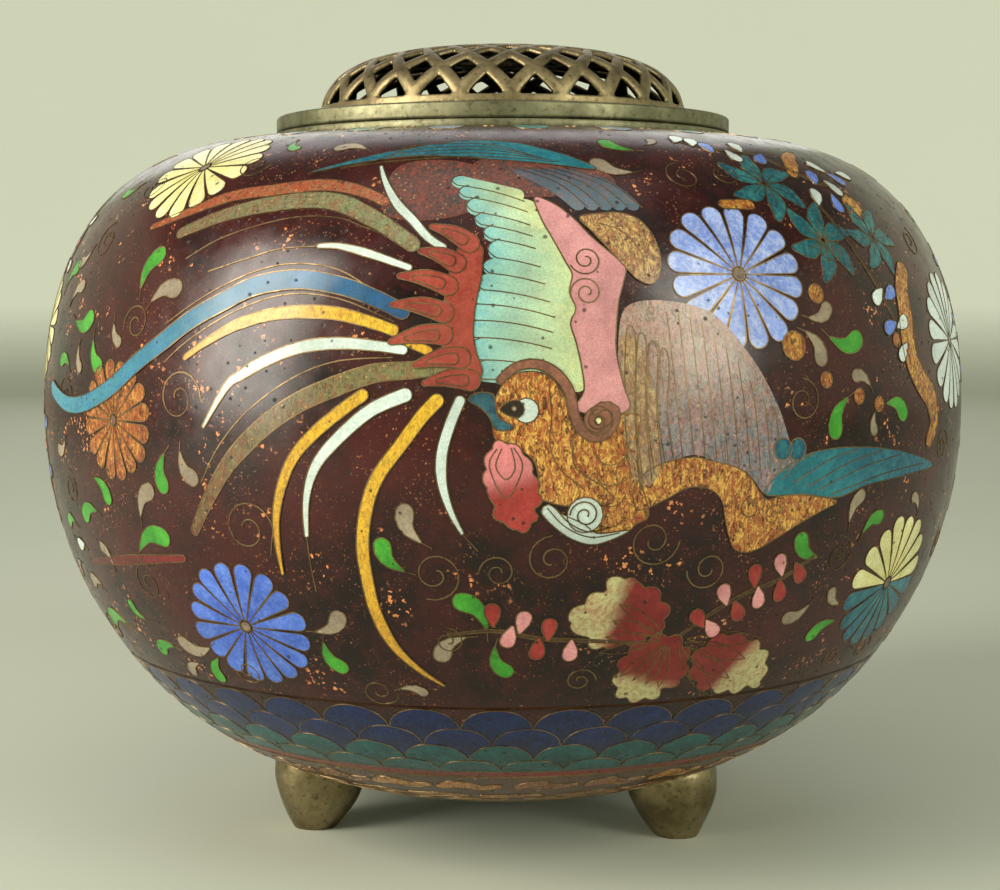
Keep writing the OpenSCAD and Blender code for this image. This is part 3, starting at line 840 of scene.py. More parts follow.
def peony(inlay):
    """Three ruffled lobes, red at the heart and cream at the rim, with lens-shaped veins."""
    heart = np.array([24.0, -22.3])
    for lobe, cream in zip(PEONY, ((13.5, -20), (20.5, -30.5), (38, -29.5))):
        cream = np.array(cream)
        inlay.patch(ruffled(lobe, 0.75, 11), "peony", 0, round_off=False,
                    toward=(heart + (cream - heart) * 0.64, heart + (cream - heart) * 0.76))
        reach = (cream - heart) * [per_degree(-24), 1]
        side = np.array([-reach[1], reach[0]])
        for fan in (-0.42, -0.14, 0.14, 0.42):
            for bow in (-0.07, 0.07):
                shape = [reach * t + side * (fan * t + bow * math.sin(math.pi * (t - 0.12) / 0.6))
                         for t in np.linspace(0.12, 0.72, 5)]
                inlay.wire(local(heart, shape), 0, width=0.18)


# Paulownia leaves: centre, radius, turn of the first leaflet
LEAVES = [((39.6, 29.6), 5.6, 20), ((44.6, 21.8), 5.4, 70), ((55, 22.3), 5.0, 110)]


def leaves_and_clouds(inlay, marble):
    """Paulownia leaves, ribbons of cloud and coloured spots on the right."""
    for centre, radius, first in LEAVES:
        for turn in range(first, first + 360, 60):
            out = np.array([math.cos(turn * DEGREE), math.sin(turn * DEGREE)]) * radius
            side = np.array([-out[1], out[0]]) * 0.12
            leaf = local(centre, [out * 0.06, out * 0.5 + side, out])
            inlay.strip(leaf, (0.16 * radius, 0.48 * radius, 0.1 * radius), "teal_leaf", 0)
            inlay.wire(leaf[:2], 0, width=0.16)
    marble.strip([(60, 19), (57.5, 16), (57, 13), (56.5, 10.5), (57, 7.5), (59, 5), (61.5, 3), (62.5, 0),
                 (60.5, -2.5)], (2.2, 3.2, 3.0, 3.2, 1.6), "ochre", 1)
    marble.strip([(46, 31), (50, 35), (53, 36.5)], (1.4, 2.2, 1.2), "ochre", 0)
    marble.strip([(31, 26.3), (36, 26.3)], (1.2, 1.5), "ochre", 1)
    marble.disc((54.5, 26.5), 1.8, "ochre")
    marble.disc((36.8, 9.8), 1.6, "ochre", 1)
    marble.disc((41, 15.5), 1.1, "ochre")
    for centre in ((41, 6), (46, 4), (49.5, 3), (54, 10)):
        marble.disc(centre, 0.9, "orange")
    for stem in STEMS:
        inlay.strip(stem, (0.3, 0.5, 0.3), "stem", 0)


# ---------------------------------------------------------------- the phoenix

# Tail feathers: path, widths, paint, layer
TAIL = [
    ([(-4.5, 13.3), (-8, 15), (-12, 16.4), (-17, 17.1), (-22, 16.4), (-26, 14.6), (-30, 12.6),
     (-34, 10), (-38, 7.6), (-42, 5), (-46, 3.3), (-50, 2.3), (-54, 2.2), (-58, 3), (-61, 4)],
     (1.6, 2.2, 2.1, 2.0, 1.8), "tail_blue", 3),
    ([(-4.5, 18.3), (-7, 19.2), (-10, 20.2), (-13, 20.9), (-15.5, 20.9)], (0.7, 0.95, 0.5), "white", 2),
    ([(-5.5, 11.5), (-8, 12.4), (-12, 13.4), (-16, 13.6), (-20, 13.2), (-24, 12), (-28, 9.9),
     (-30.5, 8.3)], (1.2, 1.4, 1.2, 0.5), "yellow", 2),
    ([(-4.5, 9.6), (-8, 10.1), (-12, 10.3), (-16, 9.8), (-20, 8.3), (-23, 6.6), (-24.5, 5.5),
     (-27.5, 1)], (1.0, 1.3, 1.2, 0.35), "white", 1),
    ([(-4.8, 10.6), (-2, 9.4)], (0.9, 1.0), "yellow", 2),
    ([(-4, 20.5), (-6, 22), (-10, 24.5), (-14, 26.3), (-18, 26.8), (-24, 26.2), (-30, 24.8),
     (-36, 22.5)], (1.6, 2.3, 2.2, 1.3), "mottled", 1),
    ([(-8, 26), (-10, 27.2), (-14, 28.6), (-18, 29), (-24, 28.4), (-30, 27.6), (-36, 25.5),
     (-42, 23.5)], (1.2, 1.9, 1.7, 0.7), "streak", 0),
    ([(-1, 20.5), (-3, 21.8), (-5, 24), (-7, 26), (-9, 29), (-10.5, 32)], (0.8, 1.1, 0.4), "white", 2),
    ([(0, 8), (-4, 7.6), (-8, 7.2), (-12, 5.8), (-16, 4), (-20, 1.3), (-24, -2.5), (-27, -6.5),
     (-30, -11)], (1.6, 2.1, 2.0, 1.1), "olive", 0),
    ([(-32, -14), (-40, -15), (-48, -16.2), (-54, -17)], (0.8, 1.3, 0.6), "dark_red", 0),
    ([(-8.5, 5.3), (-11, 3.5), (-14, 1), (-16.3, -1.5), (-17.8, -4.5), (-18.8, -8), (-19, -11),
     (-18.9, -14.8)], (1.3, 1.3, 1.0, 0.4), "yellow", 2),
    ([(-4, 5.3), (-8, 3.5), (-11.5, 0.5), (-14, -2.5), (-15.2, -6), (-15.5, -10.3)], (1.5, 1.3, 0.5),
     "white", 1),
    ([(-1, 5), (-3, 2.8), (-5, 0), (-7.5, -3.5), (-8.8, -7), (-9.4, -11), (-9.2, -15), (-8.6, -19),
     (-7, -23), (-4.5, -26), (-1.8, -28.2)], (1.5, 1.4, 1.4, 1.3, 0.3), "yellow", 2),
    ([(1, 5), (-0.2, 2), (-1, -1), (-1, -4), (-0.2, -7), (1, -9.5)], (1.1, 1.2, 0.4), "white", 1),
]
MARBLED = ("yellow", "mottled", "streak", "olive")
TAIL_WIRES = [
    [(-6, 12.6), (-12, 15), (-18, 15.5), (-24, 13.7), (-30, 10.4), (-33.5, 7.8)],
    [(-7, 14.9), (-12, 18), (-17, 18.9), (-22, 18.2), (-28, 15.6), (-34, 12)],
    [(-6, 21.4), (-10, 23), (-14, 24.4), (-20, 24.4), (-28, 22.2), (-33, 19.5)],
    [(-6, 8.9), (-12, 8.4), (-17, 6.4), (-22, 2.8), (-25.5, -1), (-28, -5)],
    [(-15.5, 20.9), (-20, 20.6), (-24, 19.5), (-29, 18)],
    [(-15.5, -10.3), (-15.4, -13.5), (-15.2, -16.5)],
    [(1, -9.5), (2.5, -11.3)],
    [(-19.2, -9), (-20, -12.5)],
]
# Red scales on the rump, from the pointed to the round end
RUMP = [((-3, 23.2), (2.3, 20.5)), ((-4, 20.3), (1, 18.3)), ((-6, 17.5), (0.3, 16)), ((-6.5, 14.4),
        (0, 13.2)), ((-6.5, 10.4), (0, 11.2)), ((-4, 8), (1.8, 8.8)), ((-3, 6.2), (2.8, 6.4))]
WING_LEVELS = [30.3, 28.7, 27, 25, 23.4, 21.7, 19.5, 17.8, 16, 14.5, 12.8, 11, 8.7, 6.7]
WING_TIPS = [-1, 0, 1, 2, 3, 3.5, 3, 2.3, 1.8, 1.5, 1.4, 1.7, 2.2]
WING_SLOPES = (0.3, 0.12)
PINK_BAND = [(8.6, 26.9), (10.5, 26.2), (12.5, 24.5), (14.5, 22), (16.5, 20), (17.9, 18.6), (17.6, 17),
             (16.8, 14.5), (16.4, 11.5), (16.4, 9), (17, 6), (17.6, 3.8), (16, 3), (12.2, 3.5),
             (13, 5.5), (12.8, 8), (12.3, 10.5), (11.8, 12.5), (12.4, 14), (11.8, 15.8), (12.2, 17.6),
             (11.6, 19), (10.3, 21.8), (9.2, 24.2)]
GOLD_LOBE = [(13.5, 24.3), (16, 24.8), (18, 24.9), (20, 24.2), (21.3, 22.5), (21.9, 20), (21.6, 17.8),
             (20.5, 16.6), (19, 17.2), (17.8, 18.6), (16.2, 20.6), (14.8, 22.4)]
TOP_FEATHERS = [(-20, 31), (-12, 33), (-4, 33.8), (4, 33), (10, 32.3), (16.5, 31.3), (14, 33.5),
                (10, 35.5), (6, 37), (0, 37.5), (-8, 35.5), (-14, 33.5)]
CLOUD_BODY = [(18.6, -7), (18.2, -4.4), (20.4, -2.4), (24, -1.6), (26, -2), (29, -2.8), (31, -4),
              (33, -6.5), (35, -6.3), (38, -6.4), (43, -7.4), (41, -8.3), (38, -9.5), (35, -11),
              (32, -12.3), (30, -12), (29, -10.5), (28.3, -8.5), (27.8, -6.5), (26.5, -5.2), (24, -4.8),
              (21.4, -6)]
TEAL_FEATHERS = [(33, -6), (34.5, -3.8), (38, -2), (42, -1.5), (46, -1.6), (50, -2), (56, -3), (63, -5),
                 (56, -5.5), (48, -6), (43, -7), (38, -6.3)]
TEAL_DIVIDERS = [((35, -4.5), (39, -2)), ((36.5, -5), (46, -1.8)), ((38.5, -5.5), (50, -2.3)),
                 ((40, -6), (54, -3)), ((42, -6.6), (60, -4.5))]
BREAST = [(11.6, 2), (15, 2.6), (18.5, 3), (18.4, 0), (18.5, -3), (19.8, -7.5), (18.5, -8.5),
          (17.5, -9.3), (14, -9.6), (12.2, -8), (12, -5), (11.2, -1)]
HEAD = [(4.2, 4.5), (5.5, 6.8), (7.5, 7.5), (9.5, 7), (11, 5), (12, 2), (11.8, 0), (12, -2), (13, -3.2),
        (15, -4.5), (16, -6), (14, -6.6), (11, -6.4), (8.6, -5.5), (8.6, -4), (7.9, -1.5), (5.5, 0.2),
        (4.3, 0.5), (4, 2)]
CREST = [(4.5, 6.3), (6, 7.8), (8, 8.3), (10, 7.5), (11.5, 5.5), (12, 3), (13, 1.2), (14.5, 0.7),
         (16, 2), (16.2, 3.4), (15, 4), (13.8, 3.2)]
BEAK = [(1.6, 4.6), (2.5, 5.3), (4, 5.2), (4.3, 4), (4.6, 2.8), (6, 1.9), (5.6, 1.5), (4.3, 1.6),
        (3.7, 2.8), (2.8, 3.8)]
WATTLE = [(3.2, -2.5), (3.5, -1), (4.3, 0.2), (5.5, 0.2), (7, -0.8), (7.9, -2.5), (8.5, -4.5),
          (8.7, -5.8), (8.2, -7), (8.3, -7.8), (7.2, -9), (6.3, -9), (5.6, -8.4), (4.4, -7.8),
          (4.1, -6.5), (3.9, -5.5), (3.3, -4.5)]
RUFF = [(8.8, -7), (10, -8.5), (12, -10), (14.5, -10.6), (17.8, -9.2), (14.5, -9.4), (13.2, -8.4),
        (11, -7.3), (9.5, -6.2)]


def phoenix_tail(tail, marbled):
    """The tail feathers, some of them marbled, the wires between them and the red scales at their root."""
    for path, widths, paint, layer in TAIL:
        (marbled if paint in MARBLED else tail).strip(path, widths, paint, layer)
    for path in TAIL_WIRES:
        tail.wire(path, 0)
    root = [(1.8, 21.5), (1.2, 18), (0.6, 14), (0.6, 10), (2.4, 6.4)]
    tail.strip(root, (2.4, 3.4, 3.2, 3.4, 2.2), "red_scale", 3)
    for tip, end in RUMP:
        middle = ((tip[0] + end[0]) / 2, (tip[1] + end[1]) / 2 + 0.5)
        tail.strip([tip, middle, end], (0.5, 1.9, 2.3), "red_scale", 4)
        inner = [(tip[0] * (1 - t) + end[0] * t, tip[1] * (1 - t) + end[1] * t + 1.2 * t * (1 - t))
                 for t in (0.25, 0.5, 0.8)]
        tail.strip(inner, (0.4, 1.0, 1.3), "red_scale", 5)


def left_wing(wing):
    """Bars of turquoise that turn yellow, with a scalloped edge and wires that stop short of the band."""
    for i, tip in enumerate(WING_TIPS):
        high, low = WING_LEVELS[i], WING_LEVELS[i + 1]
        slope = np.interp(i, (0, len(WING_TIPS) - 1), WING_SLOPES)
        level = (high + low) / 2
        root = np.interp(i, (0, 1, 2, 3, 5), (7.4, 8.7, 9.8, 11, 13.4))
        path = [(a, level - slope * (a - tip)) for a in (tip, (tip + root) / 2, root)]
        wing.strip(path, (high - low) * 1.12, "wing", 1, edged=False)
        notch = tip + (high - low) * 0.4
        bow = [(notch + 0.3, high), (tip + 0.25, level + 0.3 * (high - low)), (tip - 0.1, level),
               (tip + 0.25, level - 0.3 * (high - low)), (notch, low)]
        wing.wire(bow, 1)
        end = np.interp(i, (0, 4, 8, 12), (7.5, 8.5, 10.2, 9.5))
        line = [(a, low - slope * (a - notch) + 0.02 * (a - notch) * (end - a))
                for a in np.linspace(notch, end, 5)]
        wing.wire(line, 1)


# Mottled dark feathers behind the left wing
DARK_FEATHERS = [[(-9, 26), (-6, 24), (0, 24.5), (4, 27), (3, 31), (-2, 33), (-8, 32)],
                 [(1, 27.5), (9, 27), (18, 28), (17, 31.5), (10, 33), (2, 33)]]


def phoenix_wings(wing, gold):
    """The left wing's bars, the band and lobe at its root, the feathers above, and the right wing."""
    left_wing(wing)
    for edge in DARK_FEATHERS:
        gold.patch(edge, "teal_dark", edged=False)
    for root in (10, 11.6, 13.2, 14.8, 16.4):
        path = [(root - 3.5, 31.2), (root + 1, 28.6), (root + 4, 25.4)]
        wing.strip(path, (1.0, 1.7, 1.5), "navy", 1, edged=False)
        wing.wire([(root - 3.8, 31.6), (root + 1.4, 29.1), (root + 4.6, 25.6)], 1)
    wing.patch(TOP_FEATHERS, "teal", 2, toward=((14, 33), (-18, 32)))
    for i in range(5):
        rise = 33.2 + 0.75 * i
        end = (-16 + 2 * i, 31.8 + 0.5 * i)
        wing.wire([(12 - i, 32.6 + 0.4 * i), (2, rise + 0.4), (-8, rise - 0.2), end], 2)
    wing.patch(PINK_BAND, "pink", 3, fade=1.4)
    for centre, hand in (((13.7, 19.3), 1), ((13.6, 15.7), -1)):
        wing.wire(coil(centre, 1.75, 1.7, 200, hand), 3, round_off=False, width=0.26)
    gold.patch(GOLD_LOBE, "gold_dust", 4)
    gold.wire([(15.4, 23.6), (18, 22.6), (19.8, 20.2), (19.9, 18)], 4)
    right_wing(wing, gold)
    wing.patch(TEAL_FEATHERS, "teal", 1, toward=((36, -4), (62, -5)))
    for start, end in TEAL_DIVIDERS:
        middle = ((start[0] + end[0]) / 2, (start[1] + end[1]) / 2 + 0.6)
        wing.wire([start, middle, end], 1)
    gold.patch(CLOUD_BODY, "gold", 2)
    for centre, start in (((31.3, -7.4), 90), ((34.2, -8.4), 0)):
        gold.wire(coil(centre, 1.35, 1.4, start), 2, round_off=False)


RIGHT_WING = [(16.8, 12), (18, 14.4), (22, 14.8), (27, 13.4), (31, 9), (34, 4), (35.6, 0), (36.5, -3),
              (34.5, -3.8), (33, -6), (31, -4), (27, -2.2), (24, -1.4), (20.6, -3), (19.6, -6),
              (18.5, -3), (18.4, 0), (18, 3), (16.6, 7)]


def right_wing(wing, gold):
    """A thin grey wing of fine upright wires, looped at its root, with two teal lobes at the end."""
    gold.patch(RIGHT_WING, "grey_wing", 1, toward=((26, 10), (27, -1)), edged=False)
    root = [(17.6, 11.5), (18.4, 6), (18.9, 1), (19.4, -4.5)]
    gold.strip(root, (1.6, 3.4, 4.0, 2.6), "sand", 2, edged=False)
    for i in range(10):
        a = 22.4 + 1.28 * i
        top = 13.6 - 0.15 * i * i
        wing.wire([(a - 0.5, top), (a, 6 - 0.3 * i), (a + 0.8, -2.0 - 0.18 * i)], 1, width=0.16)
    for i in range(4):
        a = 17.6 + 1.15 * i
        wing.wire([(a + 0.3, -5.2 + i), (a - 0.5, 3), (a - 0.2, 11 - 0.8 * i), (a + 0.35, 12.2 - 0.8 * i),
                   (a + 0.8, 10.6 - 0.8 * i), (a + 0.5, 3), (a + 1.2, -5 + i)], 2, width=0.16)
    for centre in ((34.9, -1.2), (36.8, -1.3)):
        wing.disc(centre, 1.2, "teal", 2)


def phoenix_head(head, gold):
    gold.patch(BREAST, "gold", 2)
    for i in range(4):
        gold.wire(arc((15.7, -0.5 - 2.2 * i), 1.7, 200, 340), 2, width=0.16, round_off=False)
    gold.patch(HEAD, "gold", 3)
    gold.wire([(9.5, 6.2), (9.8, 3), (9.6, 0), (10.6, -2.5), (13, -4.6)], 3, width=0.16)
    head.strip(CREST, (0.8, 1.1, 1.0, 0.8), "crest", 4)
    head.disc((14.4, 2.4), 1.5, "crest", 4)
    head.wire(coil((14.4, 2.4), 1.2, 1.4, 90), 5, round_off=False)
    head.disc((14.4, 2.4), 0.36, "cream", 5)
    head.disc((7.3, 3.5), 1.28, "white", 4)
    head.patch([(4.7, 3.6), (5.6, 4.4), (6.6, 4.5), (7.1, 3.6), (6.6, 2.8), (5.6, 3.0)], "iris", 5)
    # A small tan dot in the dark iris: a painted highlight, the eye's glint.
    head.disc((6.1, 3.7), 0.26, "tan", 6)
    head.patch(BEAK, "beak", 4)
    head.patch(ruffled(WATTLE, 0.4, 12), "wattle", 4, toward=((5.2, -3.4), (5.6, -4.9)), round_off=False)
    for wide, deep in ((1.0, -3.6), (1.9, -5.6)):
        head.wire([(5.4 - wide * 0.5, -0.4), (5.0 - wide * 0.7, -2.2), (5.3, deep),
                   (5.4 + wide * 0.8, -2.4), (5.5 + wide * 0.3, -0.3)], 4)
    head.patch(RUFF, "white", 4)
    head.disc((13.2, -7.4), 1.9, "white", 4)
    head.wire(coil((13.2, -7.4), 1.6, 1.6, 180, -1), 5, round_off=False, width=0.24)
    head.wire([(9.4, -6.6), (11.2, -8.6), (13.8, -9.8), (16.8, -9.4)], 4)
    head.wire([(10.2, -6.6), (11.6, -8.2), (13.6, -9.2), (15.8, -8.8)], 5)


def meadow(inlays, turn):
    """The main field's design, turned about the body."""
    for inlay in inlays.values():
        inlay.turn = turn
    for centre, radius, paint, low_paint in FLOWERS:
        kind = "marbled_flowers" if paint == "orange" else "chrysanthemums"
        chrysanthemum(inlays[kind], centre, radius, paint, low_paint)
    peony(inlays["peonies"])
    for paint, pairs in COMMAS.items():
        for fat, tip in pairs:
            comma(inlays["comma_leaves"], fat, tip, paint)
    for paint, centres in BUDS.items():
        for centre in centres:
            bud(inlays["buds"], centre, paint)
    for centre, radius, start, hand in SPIRALS:
        inlays["tendrils"].wire(coil(centre, radius, 1.5, start, hand), 0, round_off=False, width=0.24)
    leaves_and_clouds(inlays["paulownia"], inlays["clouds"])
    phoenix_tail(inlays["phoenix_tail"], inlays["marbled_feathers"])
    phoenix_wings(inlays["phoenix_wings"], inlays["phoenix_gold"])
    phoenix_head(inlays["phoenix_head"], inlays["phoenix_gold"])


SIDE_FLOWERS = [((0, 27), 8.4, "orange"), ((-3, -4), 8.6, "petal_blue"), ((11, 11), 7.2, "cream"),
                ((5, -22.5), 7.6, "periwinkle"), ((-11, 14), 6.0, "chalk")]
SIDE_STEMS = [[(-14, 30), (-10, 24), (-4, 18), (0, 10), (-1, 5)], [(12, 30), (15, 22), (13, 18)],
              [(12, 3), (14, -4), (12, -12), (8, -16)], [(-13, -2), (-15, -12), (-10, -22), (-3, -27)],
              [(-19, 22), (-20, 12), (-18, 4)]]


def side_garden(inlays, turn):
    """Flowers, stems with buds, leaves and tendrils between the two phoenixes."""
    for inlay in inlays.values():
        inlay.turn = turn
    taken = []
    for centre, radius, paint in SIDE_FLOWERS:
        kind = "marbled_flowers" if paint == "orange" else "chrysanthemums"
        chrysanthemum(inlays[kind], centre, radius, paint)
        taken.append((*centre, radius + 1.2))
    for stem in SIDE_STEMS:
        inlays["paulownia"].strip(stem, (0.3, 0.5, 0.3), "stem", 0)
        line = smooth(stem, step=3.4)[1:]
        for i, (a, s) in enumerate(line):
            paint = ("bud_red", "bud_pink", "bud_white", "bud_blue")[(i + len(taken)) % 4]
            side = 2.6 if i % 2 else -2.6
            away = across(line)[i] * side
            tip = np.array([a, s])
            inlays["buds"].strip([tip + away, tip + away * 0.6, tip], (1.7, 1.5, 0.25), paint, 1)
            taken.append((a, s, 3.4))
    for i in range(160):
        a, s = -24 + 48 * ((i * 0.618) % 1), -29.5 + 69 * ((i * 0.755) % 1)
        size = 2.6 if i % 3 == 2 else 2.1
        k = per_degree(s)
        if any(math.hypot((a - x) * k, s - y) < r + size for x, y, r in taken):
            continue
        taken.append((a, s, size + 0.3))
        if i % 3 == 2:
            inlays["tendrils"].wire(coil((a, s), size, 1.5, i * 50, 1 if i % 2 else -1), 0, round_off=False)
        else:
            turned_by = i * 2.4
            tip = (a + 3.6 * math.cos(turned_by) / k, s + 3.6 * math.sin(turned_by))
            comma(inlays["comma_leaves"], (a, s), tip, "green" if i % 2 else "tan")


def main_design():
    names = ("chrysanthemums", "peonies", "comma_leaves", "buds", "tendrils", "paulownia", "phoenix_tail",
             "phoenix_wings", "phoenix_head")
    inlays = {name: Inlay(name) for name in names}
    for name in ("clouds", "phoenix_gold", "marbled_flowers", "marbled_feathers"):
        inlays[name] = Inlay(name, material=MARBLE)
    meadow(inlays, 0)
    meadow(inlays, 180)
    side_garden(inlays, 99)
    side_garden(inlays, 279)
    for inlay in inlays.values():
        inlay.make()


# ---------------------------------------------------------------- lid, rim and feet

# The lid's dark colour goes on where the lattice's inward-facing attribute is high: patina in part, painted
# shade in part.
LID_METAL = metal("lid_gilding", rgb(156, 140, 104), rgb(116, 102, 74), rgb(40, 33, 22), (0.4, 0.6), "patina_and_shade")
FLANGE_METAL = metal("lid_flange_brass", rgb(146, 142, 112), rgb(106, 103, 78), rgb(46, 42, 28), (0.4, 0.58))
FOOT_METAL = metal("foot_bronze", rgb(158, 144, 110), rgb(108, 94, 64), rgb(48, 40, 26), (0.26, 0.46))

dome_low, dome_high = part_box("lid_dome")
DOME_R, DOME_Z, DOME_TOP = dome_high.x / MM, dome_low.z / MM, dome_high.z / MM
DOME = [(DOME_R, DOME_Z), (DOME_R - 0.9, DOME_Z + (DOME_TOP - DOME_Z) * 0.85), (DOME_R * 0.63, DOME_TOP),
        (0, DOME_TOP)]
DOME_T = 1.0
STRANDS = 24
# A strand's way up the dome: turn in degrees, and place along the dome's outline
STRAND = [(-1.2, 0.0), (0, 0.06), (2.6, 0.14), (7.5, 0.26), (15, 0.42), (22.5, 0.54), (30, 0.63),
          (37.5, 0.69), (45, 0.74)]


def dome_at(t, depth):
    """Radius, height and outward normal on the dome's outline."""
    t = np.clip(np.atleast_1d(t), 0, 1)
    ahead, behind = np.clip(t + 1e-3, 0, 1), np.clip(t - 1e-3, 0, 1)
    here, slope = bezier(DOME, t), bezier(DOME, ahead) - bezier(DOME, behind)
    normal = np.column_stack([slope[:, 1], -slope[:, 0]]) / np.linalg.norm(slope, axis=1)[:, None]
    return here - depth * normal, normal


STRAND_SIDES, RING_TURNS = 10, 144
STRAND_WIDTHS = (0.0, 0.3, 0.75), (1.9, 1.75, 1.1)    # places up the dome, and a strand's width there
FUSE_VOXEL = 0.00016                                  # metres


def strand(turns, places, wide):
    """A rounded bar along the dome, as points in metres and faces."""
    sides = STRAND_SIDES
    rz, normal = dome_at(places, DOME_T / 2)
    a = np.array(turns) * DEGREE
    out = np.column_stack([np.sin(a) * normal[:, 0], -np.cos(a) * normal[:, 0], normal[:, 1]])
    middle = np.column_stack([np.sin(a) * rz[:, 0], -np.cos(a) * rz[:, 0], rz[:, 1]])
    ahead = np.gradient(middle, axis=0)
    left = np.cross(out, ahead)
    left /= np.linalg.norm(left, axis=1)[:, None]
    wide = np.broadcast_to(wide, len(a))[:, None]
    points = []
    for j in range(sides):
        turn = 2 * math.pi * j / sides
        bulge = 1 / (abs(math.cos(turn)) ** 3 + abs(math.sin(turn)) ** 3) ** (1 / 3)
        points.append(middle - left * (wide / 2) * math.cos(turn) * bulge
                      + out * (DOME_T / 2) * math.sin(turn) * bulge * 0.94)
    points = np.stack(points, axis=1).reshape(-1, 3) * MM
    n = len(a)
    faces = [(i * sides + j, (i + 1) * sides + j, (i + 1) * sides + k, i * sides + k)
             for i in range(n - 1) for j, k in ((j, (j + 1) % sides) for j in range(sides))]
    faces += [tuple(range(sides)), tuple((n - 1) * sides + j for j in reversed(range(sides)))]
    return points, faces


def dome_ring(start, end):
    """A closed ring of the dome between two places on its outline."""
    t = np.linspace(start, end, 10)
    outer, inner = dome_at(t, 0.0)[0], dome_at(t, DOME_T)[0]
    outer[:, 0], inner[:, 0] = np.maximum(outer[:, 0], AXIS_GAP), np.maximum(inner[:, 0], AXIS_GAP)
    inner[:, 1] = np.maximum(inner[:, 1], DOME_Z)
    return revolved(np.vstack([outer, inner[::-1]]), RING_TURNS)


def lattice():
    """Crossing bars between a ring at the foot and a ring near the top, fused and softened."""
    parts = [dome_ring(0.0, 0.05), dome_ring(0.735, 0.775), dome_ring(0.915, 1.0)]
    path = smooth([(a / 10, t * 10) for a, t in STRAND], step=0.12) * [10, 0.1]
    widths = np.interp(path[:, 1], *STRAND_WIDTHS)
    for i in range(STRANDS):
        for hand in (1, -1):
            turns = i * 360 / STRANDS + 0.5 * 360 / STRANDS + hand * path[:, 0]
            parts.append(strand(turns, path[:, 1], widths))
    for i in range(STRANDS // 2):
        turn = (i + 0.75) * 360 / (STRANDS // 2)
        places = np.linspace(0.75, 0.94, 14)
        parts.append(strand(np.full(14, turn), places, np.linspace(1.5, 0.9, 14)))
    points, faces, count = [], [], 0
    for part_points, part_faces in parts:
        points.append(part_points)
        faces += [tuple(i + count for i in f) for f in part_faces]
        count += len(part_points)
    points = np.vstack(points)
    piece = mesh_piece("lid_lattice", points, faces, LID_METAL, "lid", 60, ["lid_dome"])
    fuse = piece.modifiers.new("fuse", "REMESH")
    fuse.mode = "VOXEL"
    fuse.voxel_size = FUSE_VOXEL
    soften = piece.modifiers.new("soften", "SMOOTH")
    soften.factor, soften.iterations = 0.5, 4
    apply_modifiers(piece)
    # Darker colour on faces that turn away from the dome's outside: partly patina, partly painted shade on
    # the inward sides of the bars.
    points = np.array([v.co for v in piece.data.vertices]) / MM
    normals = np.array([v.normal for v in piece.data.vertices])
    outward = points - [0, 0, DOME_Z - 12]
    outward /= np.linalg.norm(outward, axis=1)[:, None]
    facing = np.sum(normals * outward, axis=1)
    patina_and_shade = np.clip((0.62 - facing) / 0.7, 0, 1).astype(np.float32)
    piece.data.attributes.new("patina_and_shade", "FLOAT", "POINT").data.foreach_set("value", patina_and_shade)


def apply_modifiers(piece):
    """Keeps the mesh as the modifiers leave it."""
    evaluated = piece.evaluated_get(bpy.context.evaluated_depsgraph_get())
    mesh = bpy.data.meshes.new_from_object(evaluated)
    piece.modifiers.clear()
    piece.data = mesh
    mesh.polygons.foreach_set("use_smooth", [True] * len(mesh.polygons))


def rounded(points, radius, steps_count):
    """A closed outline (r, z) with its corners rounded."""
    p = np.array(points, float)
    out = []
    for i in range(len(p)):
        before, here, after = p[i - 1], p[i], p[(i + 1) % len(p)]
        to_before, to_after = before - here, after - here
        cut = min(radius, 0.45 * np.linalg.norm(to_before), 0.45 * np.linalg.norm(to_after))
        start = here + to_before / np.linalg.norm(to_before) * cut
        end = here + to_after / np.linalg.norm(to_after) * cut
        for t in np.linspace(0, 1, steps_count):
            out.append((1 - t) ** 2 * start + 2 * t * (1 - t) * here + t * t * end)
    return np.array(out)


def rim_and_flange():
    """The mouth rim, the lid's flange and the collar under it."""
    rim, collar = rings("mouth_rim"), rings("lid_collar")
    flange_low, flange_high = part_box("lid_flange")
    bore, seat, wide = rim[:, 0].min(), rim[:, 1].max(), rim[:, 0].max()
    foot = rim[:, 1].min()
    step, under = MOUTH_R - 0.1, MOUTH_Z + 0.1
    profile = [(bore, foot), (step, foot), (step, under), (wide - 0.1, under), (wide, (MOUTH_Z + seat) / 2),
               (wide - 0.1, seat), (bore, seat)]
    turned("rim_ring", rounded(profile, 0.2, 3), FLANGE_METAL, "vessel", ["mouth_rim"])
    low, high, wide = flange_low.z / MM, flange_high.z / MM, flange_high.x / MM
    inner = collar[:, 0].min()
    edge = high - 0.35
    profile = [(inner, low), (wide, low), (wide, edge), (DOME_R + 1.9, edge + 0.1), (DOME_R + 0.5, high),
               (DOME_R - 1.7, high), (DOME_R - 1.7, low + 0.02)]
    profile = rounded(profile, 0.4, 5)
    turned("flange_plate", profile, FLANGE_METAL, "lid", ["lid_flange"], sharp=50)
    bottom, outer = collar[:, 1].min(), collar[:, 0].max()
    profile = rounded([(inner, bottom), (outer, bottom), (outer, low), (inner, low)], 0.15, 3)
    turned("collar_sleeve", profile, FLANGE_METAL, "lid", ["lid_collar"])


FOOT_LEAN = 8 * DEGREE
FOOT_SIDES = 48
FOOT_R, PAD_R = 5.95, 2.5
FOOT_LUMP = 0.012      # how far the casting is out of round
FOOT_SUNK = 0.45       # how deep a foot's top goes into the glaze


